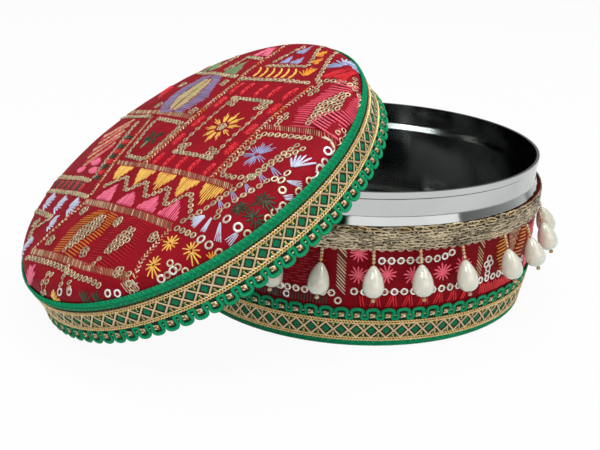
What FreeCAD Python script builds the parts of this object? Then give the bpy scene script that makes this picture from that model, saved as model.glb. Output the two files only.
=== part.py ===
"""Round steel sweet box with a padded, embroidered lid leaning on it, and a row of hanging pearl drops.

Millimetres. The origin is the centre of the box's foot, +Z is up, and the lid leans towards -X.
"""
import FreeCAD, Part
import math
import os

os.makedirs("parts", exist_ok=True)

# Steel box
SHEET = 0.6
FOOT_RADIUS = 88.5
FOOT_CORNER = 5.0
BELLY_RADIUS = 93.9
BELLY_HEIGHT = 24.0
BELLY_ROUNDING = 40.0
SHOULDER_RADIUS = 96.0
SHOULDER_HEIGHT = 63.4
SHOULDER_ROUNDING = 1.5
NECK_RADIUS = 94.2
NECK_HEIGHT = 67.6
NECK_ROUNDING = 2.5
STEP_HEIGHT = 75.8
STEP_ROUNDING = 0.8
RIM_RADIUS = 95.0
RIM_STEP = 0.6
BOX_HEIGHT = 79.4

# Fabric, braid and lace, all glued on with a hair of room between the layers
GLUE_GAP = 0.05
SLANT_ROOM = 0.55
FABRIC = 0.8
BAND_BOTTOM = 4.2
BAND_TOP = 62.5
BRAID_BOTTOM = 52.8
BRAID_TOP = 63.9
BRAID = 1.2
LACE_WIDTH = 22.2
LACE_TAPE = 1.2
EDGE_CORD_RADIUS = 1.3
GIMP = 1.6
GIMP_WIDTH = 7.3
LOOP_PITCH = 7.3
LOOP_NOTCH_RADIUS = 1.1
TRIM_CLEAR_OF_FLOOR = 0.8

# Lid, measured from the plane of the lace's upper edge, along the lid's own axis
LID_BORE_RADIUS = 95.5
LID_SKIRT_BOTTOM = -14.0
LID_PLATE_CROWN = 3.9
LID_PLATE_EDGE = -1.5
LID_CORNER = 1.2
COVER_CROWN = 15.9
COVER_EDGE = 6.3
COVER_CORNER = 7.0
COVER_BOTTOM = -13.6
DOME_SHARE = 0.97
PAD_RADIUS = 94.0
LID_GIMP_FLARE = 1.8
LEAN_DEG = 32.9
LEAN_GAP = 0.3

# Pearl drops, measured down from the hinge at the top of the stalk
DROP_COUNT = 24
FRONT_DROPS_DEG = [-140.0, -127.5, -113.5, -100.5, -87.5, -71.0, -58.0, -43.0]
DROP_HINGE_RADIUS = 98.2
DROP_HINGE_HEIGHT = 51.6
DROP_LEAN_DEG = 22.0
STALK_BEAD_RADIUS = 0.9
STALK_BEAD_PITCH = 1.6
STALK_BEADS = 4
THREAD_RADIUS = 0.45
PEARL_TOP = 6.3
PEARL_LENGTH = 15.0
PEARL_RADIUS = 5.1
PEARL_WIDEST = 9.2
PEARL_TOP_RADIUS = 0.9
PEARL_BORE_RADIUS = 0.55
TIP_BEAD_RADIUS = 1.1


def at(radius, height):
    """A point of a profile in the XZ plane."""
    return FreeCAD.Vector(radius, 0, height)


def spun(profile):
    """The solid swept by a closed profile in a full turn about the Z axis."""
    face = Part.Face(Part.Wire(Part.__sortEdges__(profile)))
    return face.revolve(FreeCAD.Vector(0, 0, 0), FreeCAD.Vector(0, 0, 1), 360)


def lines(*points):
    """Straight edges from each point to the next."""
    return [Part.makeLine(a, b) for a, b in zip(points, points[1:])]


def left_of(a, b):
    """The unit vector to the left of the way from a to b, in a profile with radius to the right."""
    way = (b - a).normalize()
    return FreeCAD.Vector(-way.z, 0, way.x)


def turn_between(a, b, c):
    """The signed angle by which the path a, b, c turns at b, to the left as positive."""
    before = (b - a).normalize()
    after = (c - b).normalize()
    cross = before.x * after.z - before.z * after.x
    return math.atan2(cross, before.dot(after))


def shifted(corners, distance):
    """The corners of a path moved to its left by distance."""
    first = left_of(corners[0], corners[1])
    last = left_of(corners[-2], corners[-1])
    moved = [corners[0] + first * distance]
    for a, b, c in zip(corners, corners[1:], corners[2:]):
        middle = (left_of(a, b) + left_of(b, c)).normalize()
        moved.append(b + middle * (distance / math.cos(turn_between(a, b, c) / 2)))
    return moved + [corners[-1] + last * distance]


def rounded(corners, roundings, shift=0.0):
    """The edges of a path along corners, with a tangent arc of its own radius at each inner corner.

    shift moves the whole path to its left, so an arc that turns left gets smaller by it.
    """
    path = shifted(corners, shift)
    edges = []
    start = path[0]
    for a, b, c, radius in zip(path, path[1:], path[2:], roundings):
        turn = turn_between(a, b, c)
        arc_radius = radius - math.copysign(shift, turn)
        reach = arc_radius * math.tan(abs(turn) / 2)
        into = b - (b - a).normalize() * reach
        out = b + (c - b).normalize() * reach
        inward = left_of(a, b) * math.copysign(1.0, turn)
        bisector = left_of(into, out) * math.copysign(1.0, turn)
        centre = into + inward * arc_radius
        edges += lines(start, into)
        edges.append(Part.Arc(into, centre - bisector * arc_radius, out).toShape())
        start = out
    return edges + lines(start, path[-1])


def sheet(corners, roundings, thickness, lift=0.0):
    """A spun sheet of even thickness whose first face lies lift to the left of a path."""
    near = rounded(corners, roundings, lift)
    far = rounded(corners, roundings, lift + thickness)
    ends = [(e.Vertexes[0].Point, e.Vertexes[-1].Point) for e in (near[0], near[-1], far[0], far[-1])]
    closing = [Part.makeLine(ends[0][0], ends[2][0]), Part.makeLine(ends[1][1], ends[3][1])]
    return spun(near + far + closing)


def export(shape, node):
    """Checks one piece and writes it."""
    solids = len(shape.Solids)
    if not shape.isValid() or solids != 1 or shape.Volume <= 0:
        raise ValueError(f"{node}: valid {shape.isValid()}, {solids} solids, volume {shape.Volume:.1f}")
    shape.exportStep(f"parts/{node}.step")


def wall_radius(height):
    """The outer radius of the box's wall at a height, leaving out the rounding at its belly."""
    if height < BELLY_HEIGHT:
        share = height / BELLY_HEIGHT
        return FOOT_RADIUS + share * (BELLY_RADIUS - FOOT_RADIUS)
    share = (height - BELLY_HEIGHT) / (SHOULDER_HEIGHT - BELLY_HEIGHT)
    return BELLY_RADIUS + share * (SHOULDER_RADIUS - BELLY_RADIUS)


def container_shell():
    """The cup, from the middle of its foot out and up to the rim."""
    corners = [
        at(0, 0),
        at(FOOT_RADIUS, 0),
        at(BELLY_RADIUS, BELLY_HEIGHT),
        at(SHOULDER_RADIUS, SHOULDER_HEIGHT),
        at(NECK_RADIUS, NECK_HEIGHT),
        at(NECK_RADIUS, STEP_HEIGHT),
        at(RIM_RADIUS, STEP_HEIGHT + RIM_STEP),
        at(RIM_RADIUS, BOX_HEIGHT),
    ]
    roundings = [
        FOOT_CORNER,
        BELLY_ROUNDING,
        SHOULDER_ROUNDING,
        NECK_ROUNDING,
        STEP_ROUNDING,
        STEP_ROUNDING,
    ]
    return sheet(corners, roundings, SHEET)


def on_wall(bottom, top, thickness, lift):
    """A sheet wrapped round the wall between two heights, lift off the steel."""
    corners = [at(wall_radius(top), top)]
    roundings = []
    if bottom < BELLY_HEIGHT < top:
        corners.append(at(BELLY_RADIUS, BELLY_HEIGHT))
        roundings.append(BELLY_ROUNDING)
    corners.append(at(wall_radius(bottom), bottom))
    return sheet(corners, roundings, thickness, lift)


def loops_cut(ring, edge_radius, edge_height):
    """A gimp ring with a notch between each loop and the next, along its free edge."""
    count = round(2 * math.pi * edge_radius / LOOP_PITCH)
    notch = Part.makeCylinder(
        LOOP_NOTCH_RADIUS, 4 * GIMP, at(edge_radius - 2 * GIMP, edge_height), FreeCAD.Vector(1, 0, 0)
    )
    notches = []
    for k in range(count):
        one = notch.copy()
        one.rotate(FreeCAD.Vector(0, 0, 0), FreeCAD.Vector(0, 0, 1), 360.0 * k / count)
        notches.append(one)
    return ring.cut(notches)


def base_pieces():
    """What is glued round the steel box, from the inside out."""
    over_band = FABRIC + 2 * GLUE_GAP
    cord_centre = TRIM_CLEAR_OF_FLOOR + EDGE_CORD_RADIUS
    tape_bottom = cord_centre + EDGE_CORD_RADIUS + SLANT_ROOM
    gimp_top = LACE_WIDTH
    gimp_bottom = gimp_top - GIMP_WIDTH
    cord_ring = wall_radius(cord_centre) + over_band + EDGE_CORD_RADIUS
    gimp_ring = on_wall(gimp_bottom, gimp_top, GIMP, over_band)
    return {
        "side_band": on_wall(BAND_BOTTOM, BAND_TOP, FABRIC, GLUE_GAP),
        "zari_braid": on_wall(BRAID_BOTTOM, BRAID_TOP, BRAID, over_band),
        "base_trim_tape": on_wall(tape_bottom, gimp_bottom - GLUE_GAP, LACE_TAPE, over_band),
        "base_trim_edge_cord": Part.makeTorus(cord_ring, EDGE_CORD_RADIUS, at(0, cord_centre)),
        "base_trim_gimp": loops_cut(gimp_ring, wall_radius(gimp_top) + over_band, gimp_top),
    }


def dome(radius, crown, edge, corner, bottom):
    """A path from the top of a shallow dome out to its edge, round a corner and straight down."""
    half = radius / 2
    slope = math.atan2(crown - edge, half)
    side = math.hypot(half, crown - edge)
    corner_reach = corner * math.tan((math.pi / 2 - slope) / 2)
    dome_reach = DOME_SHARE * min(half, side - corner_reach)
    corners = [at(0, crown), at(half, crown), at(radius, edge), at(radius, bottom)]
    return corners, [dome_reach / math.tan(slope / 2), corner]


def filled(corners, roundings, shift):
    """The solid under a dome's path, moved out by shift."""
    path = rounded(corners, roundings, shift)
    top = path[0].Vertexes[0].Point
    foot = path[-1].Vertexes[-1].Point
    return spun(path + lines(foot, at(0, foot.z), top))


def lid_plate():
    """The inner face of the steel lid: the domed plate, a rounded corner and the skirt."""
    return dome(LID_BORE_RADIUS, LID_PLATE_CROWN, LID_PLATE_EDGE, LID_CORNER, LID_SKIRT_BOTTOM)


def cover_lining():
    """The inner face of the cloth, over the pad and down the outside of the skirt."""
    radius = LID_BORE_RADIUS + SHEET + GLUE_GAP
    return dome(radius, COVER_CROWN - FABRIC, COVER_EDGE - FABRIC, COVER_CORNER - FABRIC, COVER_BOTTOM)


def lid_pad():
    """The foam, hollow below to fit the plate, crowned above and straight at its side."""
    under_cover = filled(*cover_lining(), -GLUE_GAP)
    below_foam = filled(*lid_plate(), SHEET + GLUE_GAP)
    foam = Part.makeCylinder(PAD_RADIUS, 2 * COVER_CROWN, at(0, -COVER_CROWN))
    return foam.common(under_cover).cut(below_foam)


def lid_pieces():
    """The lid's pieces in its own frame, with the lace's upper edge at height 0."""
    skirt = LID_BORE_RADIUS + SHEET + FABRIC + 2 * GLUE_GAP
    cord_ring = skirt + EDGE_CORD_RADIUS
    tape_top = -2 * EDGE_CORD_RADIUS - GLUE_GAP
    gimp_top = -LACE_WIDTH + GIMP_WIDTH
    gimp_inside = skirt + LACE_TAPE / 2 - GLUE_GAP
    gimp_edge = gimp_inside + LID_GIMP_FLARE
    tape = [at(skirt, tape_top), at(skirt, gimp_top + GLUE_GAP)]
    gimp = [at(gimp_inside, gimp_top - SLANT_ROOM), at(gimp_edge, -LACE_WIDTH)]
    return {
        "lid_shell": sheet(*lid_plate(), SHEET),
        "lid_pad": lid_pad(),
        "lid_cover": sheet(*cover_lining(), FABRIC),
        "lid_trim_tape": sheet(tape, [], LACE_TAPE),
        "lid_trim_edge_cord": Part.makeTorus(cord_ring, EDGE_CORD_RADIUS, at(0, -EDGE_CORD_RADIUS)),
        "lid_trim_gimp": loops_cut(sheet(gimp, [], GIMP), gimp_edge, -LACE_WIDTH),
    }, gimp_edge + GIMP


def leaning(shape, trim_radius):
    """A lid piece turned and moved to where the lid leans: its lace on the floor, its plate on the rim."""
    lean = math.radians(LEAN_DEG)
    height = trim_radius * math.sin(lean) + LACE_WIDTH * math.cos(lean)
    rim_below_plate = LID_PLATE_CROWN - LEAN_GAP
    across = ((BOX_HEIGHT - height) * math.cos(lean) - rim_below_plate) / math.sin(lean)
    moved = shape.copy()
    moved.rotate(FreeCAD.Vector(0, 0, 0), FreeCAD.Vector(0, 1, 0), -LEAN_DEG)
    moved.translate(FreeCAD.Vector(-RIM_RADIUS - across, 0, height))
    return moved


def pearl():
    """A drilled teardrop of two arcs that meet where it is widest."""
    top = at(PEARL_TOP_RADIUS, -PEARL_TOP)
    widest = at(PEARL_RADIUS, -PEARL_TOP - PEARL_WIDEST)
    bottom = at(PEARL_TOP_RADIUS, -PEARL_TOP - PEARL_LENGTH)

    def bulge(end):
        """An arc from end to the widest place, level there with the drop's axis."""
        drop = abs(end.z - widest.z)
        inset = widest.x - end.x
        radius = (drop**2 + inset**2) / (2 * inset)
        centre = at(widest.x - radius, widest.z)
        middle = ((end - centre) + (widest - centre)).normalize()
        return Part.Arc(end, centre + middle * radius, widest).toShape()

    bore_top = at(PEARL_BORE_RADIUS, top.z)
    bore_bottom = at(PEARL_BORE_RADIUS, bottom.z)
    edges = [bulge(top), bulge(bottom)] + lines(top, bore_top, bore_bottom, bottom)
    return spun(edges)


def pearl_hanger():
    """The thread with its stalk of seed beads, through the pearl to the bead that holds it."""
    tip = PEARL_TOP + PEARL_LENGTH + TIP_BEAD_RADIUS
    thread = Part.makeCylinder(THREAD_RADIUS, tip, at(0, -tip))
    beads = [
        Part.makeSphere(STALK_BEAD_RADIUS, at(0, -k * STALK_BEAD_PITCH)) for k in range(STALK_BEADS)
    ]
    return thread.multiFuse(beads + [Part.makeSphere(TIP_BEAD_RADIUS, at(0, -tip))])


def drop_angles():
    """Where the drops hang round the box: those in front by hand, the rest evenly round the back."""
    spare = DROP_COUNT - len(FRONT_DROPS_DEG)
    first, last = FRONT_DROPS_DEG[0] + 360.0, FRONT_DROPS_DEG[-1]
    step = (first - last) / (spare + 1)
    return FRONT_DROPS_DEG + [last + step * (k + 1) for k in range(spare)]


def hung(shape, angle):
    """A drop's piece leaned outwards and moved to its hinge on the box."""
    moved = shape.copy()
    moved.rotate(FreeCAD.Vector(0, 0, 0), FreeCAD.Vector(0, 1, 0), -DROP_LEAN_DEG)
    moved.translate(at(DROP_HINGE_RADIUS, DROP_HINGE_HEIGHT))
    moved.rotate(FreeCAD.Vector(0, 0, 0), FreeCAD.Vector(0, 0, 1), angle)
    return moved


export(container_shell(), "container_shell")
for node, piece in base_pieces().items():
    export(piece, node)

on_lid, lace_radius = lid_pieces()
for node, piece in on_lid.items():
    export(leaning(piece, lace_radius), node)

one_pearl = pearl()
one_hanger = pearl_hanger()
for number, angle in enumerate(drop_angles(), start=1):
    export(hung(one_pearl, angle), f"pearl_{number:02d}")
    export(hung(one_hanger, angle), f"pearl_hanger_{number:02d}")
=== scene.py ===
"""Sweet box: a steel cup and its padded lid, dressed in embroidered cloth, lace, braid and pearl drops.

The lid is off and leans on the rim. Sizes are in millimetres until a mesh is made, and then in metres.
"""
import math
import random

import bmesh
import bpy
from mathutils import Matrix, Vector


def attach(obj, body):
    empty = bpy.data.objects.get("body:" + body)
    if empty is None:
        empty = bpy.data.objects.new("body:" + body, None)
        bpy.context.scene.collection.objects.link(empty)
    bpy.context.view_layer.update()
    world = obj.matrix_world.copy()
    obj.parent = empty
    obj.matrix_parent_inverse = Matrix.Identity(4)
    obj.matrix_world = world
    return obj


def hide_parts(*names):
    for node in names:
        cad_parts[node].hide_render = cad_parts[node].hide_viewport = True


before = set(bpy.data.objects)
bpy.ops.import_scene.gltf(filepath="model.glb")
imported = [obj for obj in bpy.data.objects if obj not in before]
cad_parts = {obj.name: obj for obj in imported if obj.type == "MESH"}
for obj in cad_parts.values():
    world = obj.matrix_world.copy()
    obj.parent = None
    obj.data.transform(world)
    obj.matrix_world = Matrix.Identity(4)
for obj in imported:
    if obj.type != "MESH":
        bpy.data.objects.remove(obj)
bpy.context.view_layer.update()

# Steel box: a cup spun from bright stainless sheet, with a flat foot, a slightly bellied wall, a shoulder and
# a neck that the lid slides over. The rim is hemmed outwards, so its inside is plain. Spinning and buffing
# leave fine lines round it.
MM = 0.001
SHEET = 0.6
FOOT_RADIUS = 88.5
BELLY_RADIUS = 93.9
BELLY_HEIGHT = 24.0
SHOULDER_RADIUS = 96.0
SHOULDER_HEIGHT = 63.4
NECK_RADIUS = 94.2
NECK_HEIGHT = 67.6
STEP_HEIGHT = 75.8
RIM_RADIUS = 95.0
RIM_STEP = 0.6
BOX_HEIGHT = 79.4
CUP_ROUNDINGS = [5.0, 40.0, 1.5, 2.5, 0.8, 0.8]
ARC_STEP = math.radians(8)
ARC_CHORD = 2.5


def rounded_path(corners, roundings, shift=0.0):
    """Points along a profile with a tangent arc at each inner corner; shift moves it to its left."""
    points = [Vector(corner) for corner in corners]
    ways = [(b - a).normalized() for a, b in zip(points, points[1:])]
    lefts = [Vector((-way.y, way.x)) for way in ways]
    path = [points[0] + lefts[0] * shift]
    for k, radius in enumerate(roundings):
        turn = math.atan2(ways[k].cross(ways[k + 1]), ways[k].dot(ways[k + 1]))
        middle = (lefts[k] + lefts[k + 1]).normalized()
        corner = points[k + 1] + middle * (shift / math.cos(turn / 2))
        arc = radius - math.copysign(shift, turn)
        into = corner - ways[k] * (arc * math.tan(abs(turn) / 2))
        centre = into + lefts[k] * math.copysign(arc, turn)
        steps = math.ceil(max(abs(turn) / ARC_STEP, arc * abs(turn) / ARC_CHORD, 2))
        for step in range(steps + 1):
            path.append(centre + Matrix.Rotation(turn * step / steps, 2) @ (into - centre))
    return path + [points[-1] + lefts[-1] * shift]


def filled_in(path, chord=4.0):
    """The same path with its long straight runs divided."""
    full = [path[0]]
    for a, b in zip(path, path[1:]):
        steps = max(1, math.ceil((b - a).length / chord))
        full += [a.lerp(b, (step + 1) / steps) for step in range(steps)]
    return full


def piece_from(name, mesh, finish, sharp_deg=40.0):
    """An object of the finished mesh, shaded smooth between sharp edges."""
    mesh.materials.clear()
    mesh.materials.append(finish)
    mesh.shade_smooth()
    mesh.set_sharp_from_angle(angle=math.radians(sharp_deg))
    piece = bpy.data.objects.new(name, mesh)
    bpy.context.scene.collection.objects.link(piece)
    return piece


def metres(place):
    """The turn and move that takes millimetres in a piece's own frame to metres in the object's frame."""
    return Matrix.Scale(MM, 4) @ place


def mesh_of(name, points, faces, laid, place=Matrix()):
    """A mesh from points in millimetres; laid, if any, gives each face's corners on the UV map."""
    mesh = bpy.data.meshes.new(name)
    mesh.from_pydata([tuple(point) for point in points], [], faces)
    if laid:
        layer = mesh.uv_layers.new(name="lay")
        flat = [value for corners in laid for corner in corners for value in corner]
        layer.data.foreach_set("uv", flat)
    mesh.transform(metres(place))
    work = bmesh.new()
    work.from_mesh(mesh)
    bmesh.ops.recalc_face_normals(work, faces=work.faces)
    work.to_mesh(mesh)
    work.free()
    return mesh


def spun(name, profile, turns, closed=False, place=Matrix(), drape=None, flat=None):
    """A mesh of a profile of (radius, height) turned about the axis, laid out round it and along it.

    closed joins the profile's ends, drape moves each point once it is in its place, and flat lays the points
    out in its own way instead.
    """
    rings, points = [], []
    for radius, height in profile:
        if radius < 1e-6:
            rings.append([len(points)] * turns)
            points.append(Vector((0, 0, height)))
            continue
        rings.append(list(range(len(points), len(points) + turns)))
        for k in range(turns):
            angle = math.tau * k / turns
            points.append(Vector((radius * math.cos(angle), radius * math.sin(angle), height)))
    pairs = list(zip(profile, profile[1:], rings, rings[1:]))
    if closed:
        pairs.append((profile[-1], profile[0], rings[-1], rings[0]))
    widest = max(radius for radius, height in profile)
    faces, laid, along = [], [], 0.0
    for a, b, ring_a, ring_b in pairs:
        step = (Vector(b) - Vector(a)).length
        for k in range(turns):
            after = (k + 1) % turns
            start, end = math.tau * widest * k / turns, math.tau * widest * (k + 1) / turns
            corners = [ring_a[k], ring_a[after], ring_b[after], ring_b[k]]
            lay = [(start, along), (end, along), (end, along + step), (start, along + step)]
            kept = [i for i in range(4) if corners[i] not in corners[:i]]
            faces.append([corners[i] for i in kept])
            laid.append([lay[i] for i in kept])
        along += step
    if drape:
        points = [drape(point) for point in points]
    if flat:
        laid = [[flat(points[corner]) for corner in face] for face in faces]
    return mesh_of(name, points, faces, laid, place)


def add_node(tree, kind, inputs=None, **settings):
    """A new node; an input given as another node's socket is linked, and any other is set as its value."""
    node = tree.nodes.new(kind)
    for setting, value in settings.items():
        setattr(node, setting, value)
    for socket, value in (inputs or {}).items():
        if isinstance(value, bpy.types.NodeSocket):
            tree.links.new(value, node.inputs[socket])
        else:
            node.inputs[socket].default_value = value
    return node


def new_finish(name, fixed):
    """A material with its shader's fixed values set, its node tree and its shader."""
    material = bpy.data.materials.new(name)
    material.use_nodes = True
    surface = material.node_tree.nodes["Principled BSDF"]
    for socket, value in fixed.items():
        surface.inputs[socket].default_value = value
    return material, material.node_tree, surface


def ramp(tree, share, stops):
    """Colours or greys blended along a share from 0 to 1, as (share, colour) stops."""
    node = add_node(tree, "ShaderNodeValToRGB", {"Fac": share})
    elements = node.color_ramp.elements
    while len(elements) < len(stops):
        elements.new(0.5)
    for element, (position, colour) in zip(elements, stops):
        element.position = position
        element.color = colour if len(colour) == 4 else (*colour, 1.0)
    return node.outputs["Color"]


def shaded(tree, share, *stops):
    """Greys blended along a share from 0 to 1, as (share, level) stops."""
    return ramp(tree, share, [(position, (level, level, level)) for position, level in stops])


def laid_out(tree):
    """A point's place on the piece's own lay, along it and across it in millimetres."""
    return add_node(tree, "ShaderNodeUVMap", uv_map="lay").outputs["UV"]


def in_place(tree):
    """A point's place in the object's frame, in metres."""
    return add_node(tree, "ShaderNodeTexCoord").outputs["Object"]


def noise(tree, place, scale, detail=2.0, roughness=0.5, distortion=0.0):
    """A cloudy share from 0 to 1 at a place."""
    inputs = {"Vector": place, "Scale": scale, "Detail": detail, "Roughness": roughness,
              "Distortion": distortion}
    return add_node(tree, "ShaderNodeTexNoise", inputs).outputs["Fac"]


def reckoned(tree, operation, a, b):
    """What one operation makes of two values."""
    return add_node(tree, "ShaderNodeMath", {0: a, 1: b}, operation=operation).outputs["Value"]


def coat(tree, surface, colour, rough):
    """Gives the shader its colour and its roughness."""
    tree.links.new(colour, surface.inputs["Base Color"])
    tree.links.new(rough, surface.inputs["Roughness"])


def bump(tree, surface, height, strength, distance):
    """Raises the surface by a height pattern; distance is in metres."""
    node = add_node(tree, "ShaderNodeBump", {"Height": height, "Strength": strength, "Distance": distance})
    tree.links.new(node.outputs["Normal"], surface.inputs["Normal"])


def spun_steel():
    """Buffed stainless: turning lines round the piece, and cloudy smears."""
    material, tree, surface = new_finish("spun_steel", {"Metallic": 1.0})
    across = add_node(tree, "ShaderNodeVectorMath", {0: laid_out(tree), 1: (0.0, 1.0, 0.0)},
                      operation="MULTIPLY")
    lines = noise(tree, across.outputs["Vector"], 2.6, detail=4.0, roughness=0.7)
    smears = noise(tree, in_place(tree), 38.0, detail=5.0, distortion=0.6)
    colour = ramp(tree, smears, [(0.3, (0.50, 0.515, 0.51)), (0.7, (0.56, 0.575, 0.57))])
    rough = shaded(tree, reckoned(tree, "MULTIPLY", lines, smears), (0.12, 0.05), (0.45, 0.13))
    coat(tree, surface, colour, rough)
    bump(tree, surface, lines, strength=0.12, distance=0.00004)
    return material


cup_corners = [
    (0, 0),
    (FOOT_RADIUS, 0),
    (BELLY_RADIUS, BELLY_HEIGHT),
    (SHOULDER_RADIUS, SHOULDER_HEIGHT),
    (NECK_RADIUS, NECK_HEIGHT),
    (NECK_RADIUS, STEP_HEIGHT),
    (RIM_RADIUS, STEP_HEIGHT + RIM_STEP),
    (RIM_RADIUS, BOX_HEIGHT),
]
steel = spun_steel()
plain_inside = cup_corners[:5] + [(NECK_RADIUS, BOX_HEIGHT)]
cup_inside = rounded_path(plain_inside, CUP_ROUNDINGS[:4], SHEET)
cup_profile = rounded_path(cup_corners, CUP_ROUNDINGS) + cup_inside[::-1]
steel_box = piece_from("steel_box", spun("steel_box", cup_profile, turns=288), steel)
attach(steel_box, "box")
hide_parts("container_shell")

# Side band: a strip of maroon dupion cut from an old embroidered cloth, glued round the steel wall with its
# ends meeting at the back. Its slubs and slight ripples show between the needlework.
GLUE_GAP = 0.05
FABRIC = 0.8
BAND_BOTTOM = 4.2
BAND_TOP = 62.5
FRONT_DEG = -118.45
RIPPLE = 0.12


def wall_radius(height):
    """The outer radius of the steel wall at a height."""
    if height < BELLY_HEIGHT:
        return FOOT_RADIUS + (BELLY_RADIUS - FOOT_RADIUS) * height / BELLY_HEIGHT
    share = (height - BELLY_HEIGHT) / (SHOULDER_HEIGHT - BELLY_HEIGHT)
    return BELLY_RADIUS + (SHOULDER_RADIUS - BELLY_RADIUS) * share


def band_ripple(angle, height):
    """How far the band's face stands off or sinks, in millimetres."""
    return RIPPLE * math.sin(9 * angle + 0.11 * height) * math.sin(23 * angle - 0.17 * height)


def band_face(angle, height):
    """The radius of the band's outer face."""
    return wall_radius(height) + GLUE_GAP + FABRIC + band_ripple(angle, height)


def rippled(point):
    """A point of the band, moved with its ripples if it is on the outer face."""
    angle = math.atan2(point.y, point.x)
    if math.hypot(point.x, point.y) < wall_radius(point.z) + FABRIC / 2:
        return point
    radius = band_face(angle, point.z)
    return Vector((radius * math.cos(angle), radius * math.sin(angle), point.z))


def dyed(red, green, blue):
    """A colour written as 0 to 255, as the shaders take it."""
    return tuple((level / 255 / 12.92 if level < 11 else ((level / 255 + 0.055) / 1.055) ** 2.4)
                 for level in (red, green, blue))


def ribs(tree, place, scale, direction, distortion=0.0):
    """A share that rises and falls in even ribs along a direction."""
    return add_node(tree, "ShaderNodeTexWave", {"Vector": place, "Scale": scale, "Distortion": distortion},
                    bands_direction=direction).outputs["Fac"]


def slub_cloth(name, dark, light):
    """Silk dupion: a plain weave with thick slubs along the weft, darker in patches and with a soft sheen."""
    material, tree, surface = new_finish(name, {"Sheen Weight": 0.01, "Specular IOR Level": 0.06})
    lay = laid_out(tree)
    stretch = add_node(tree, "ShaderNodeMapping", {"Vector": lay, "Scale": (0.12, 1.6, 1.0)})
    slubs = noise(tree, stretch.outputs["Vector"], 1.0, detail=4.0, roughness=0.65)
    weft = ribs(tree, lay, 0.5, "Y", distortion=0.6)
    warp = ribs(tree, lay, 0.5, "X", distortion=0.4)
    weave = reckoned(tree, "MAXIMUM", weft, warp)
    patches = noise(tree, lay, 0.055, detail=3.0)
    colour = ramp(tree, reckoned(tree, "MULTIPLY", slubs, patches), [(0.1, dark), (0.4, light)])
    coat(tree, surface, colour, shaded(tree, weave, (0.0, 0.75), (1.0, 0.5)))
    bump(tree, surface, reckoned(tree, "ADD", weave, slubs), strength=0.5, distance=0.00015)
    return material


def strip_profile(face, bottom, top, lift, thickness):
    """The closed section of a strip wrapped round a face, from its outer side up to its inner side down."""
    rows = max(2, round((top - bottom) / 2.2))
    heights = [bottom + (top - bottom) * row / rows for row in range(rows + 1)]
    outer = [(face(height) + lift + thickness, height) for height in heights]
    return outer + [(face(height) + lift, height) for height in reversed(heights)]


maroon = slub_cloth("maroon_dupion", dyed(114, 7, 18), dyed(138, 10, 24))
band_profile = strip_profile(wall_radius, BAND_BOTTOM, BAND_TOP, GLUE_GAP, FABRIC)
band_mesh = spun("band_cloth", band_profile, turns=360, closed=True, drape=rippled)
band_cloth = piece_from("band_cloth", band_mesh, maroon)
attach(band_cloth, "box")
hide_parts("side_band")

# Needlework on the band: silk floss, gold zari thread and ring sequins, sewn by hand in stars, combs, hatched
# bands and rows. Each stitch lies slightly arched on the cloth, and each sequin is caught down by its thread.
FLOSS = {
    "marigold": dyed(255, 202, 92), "amber": dyed(248, 164, 44), "rust": dyed(214, 122, 32),
    "rose": dyed(252, 116, 150), "peony": dyed(232, 76, 104), "coral": dyed(250, 104, 124),
    "scarlet": dyed(224, 20, 36), "blood": dyed(178, 16, 34), "lilac": dyed(208, 216, 238),
    "iris": dyed(160, 176, 218), "violet": dyed(158, 140, 182), "bottle": dyed(46, 66, 42),
    "sage": dyed(116, 150, 102), "olive": dyed(52, 46, 30), "khaki": dyed(214, 200, 146),
    "cream": dyed(253, 248, 234), "old_gold": dyed(222, 188, 142), "rose_gold": dyed(172, 122, 90),
    "antique": dyed(218, 202, 164), "pale_gold": dyed(240, 226, 196),
}
SILK_VARY = 0.16
ZARI_VARY = 0.4
SEQUIN_VARY = 0.25
SEQUIN_TIP = 0.12
SEQUIN_LIFT = 0.15
GOLD_HATCH = ("rose_gold", "antique", "rose_gold")
ROPE_HATCH = ("old_gold", "old_gold", "pale_gold", "rust")
BAND_SEQUIN = 1.9
FRINGE_FOOT = 22.5


class Cloth:
    """A face to embroider: where its flat points lie, which are inside its edge, and what is sewn on it."""

    def __init__(self, place, seed, inside=lambda point: True):
        self.place = place
        self.inside = inside
        self.luck = random.Random(seed)
        self.silk = []
        self.zari = []
        self.sequins = []

    def tint(self, floss, vary):
        """A thread's colour, a little lighter or darker from one needleful to the next."""
        level = self.luck.uniform(1 - vary, 1 + vary)
        return tuple(min(1.0, level * share) for share in FLOSS[floss])

    def stitch(self, a, b, floss, width, metal=False):
        """One stitch from a to b, in flat millimetres, shortened where it would cross the edge."""
        a, b = Vector(a), Vector(b)
        while not self.inside(b) and (b - a).length > 1:
            b = a.lerp(b, 0.9)
        if not (self.inside(a) and self.inside(b)):
            return
        start, end = self.place(*a)[0], self.place(*b)[0]
        middle, up = self.place((a[0] + b[0]) / 2, (a[1] + b[1]) / 2)
        along = end - start
        size = (along.length, width, min(0.5 * width, 0.5))
        heap = self.zari if metal else self.silk
        heap.append((middle, along, up, size, self.tint(floss, ZARI_VARY if metal else SILK_VARY)))

    def random_way(self, reach):
        """A way with each share drawn from minus to plus a reach."""
        return Vector([self.luck.uniform(-reach, reach) for axis in "xyz"])

    def sequin(self, middle, radius, floss="antique"):
        """One ring sequin, tipped a little as its thread pulls it."""
        if not self.inside(middle):
            return
        place, up = self.place(*middle)
        tipped = (up + self.random_way(SEQUIN_TIP)).normalized()
        along = tipped.cross(self.random_way(1))
        size = (radius, radius, radius)
        self.sequins.append((place + up * SEQUIN_LIFT, along, tipped, size, self.tint(floss, SEQUIN_VARY)))


def spread(a, b, count):
    """count points at the middles of equal shares of the way from a to b."""
    a, b = Vector(a), Vector(b)
    return [a.lerp(b, (k + 0.5) / count) for k in range(count)]


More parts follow.
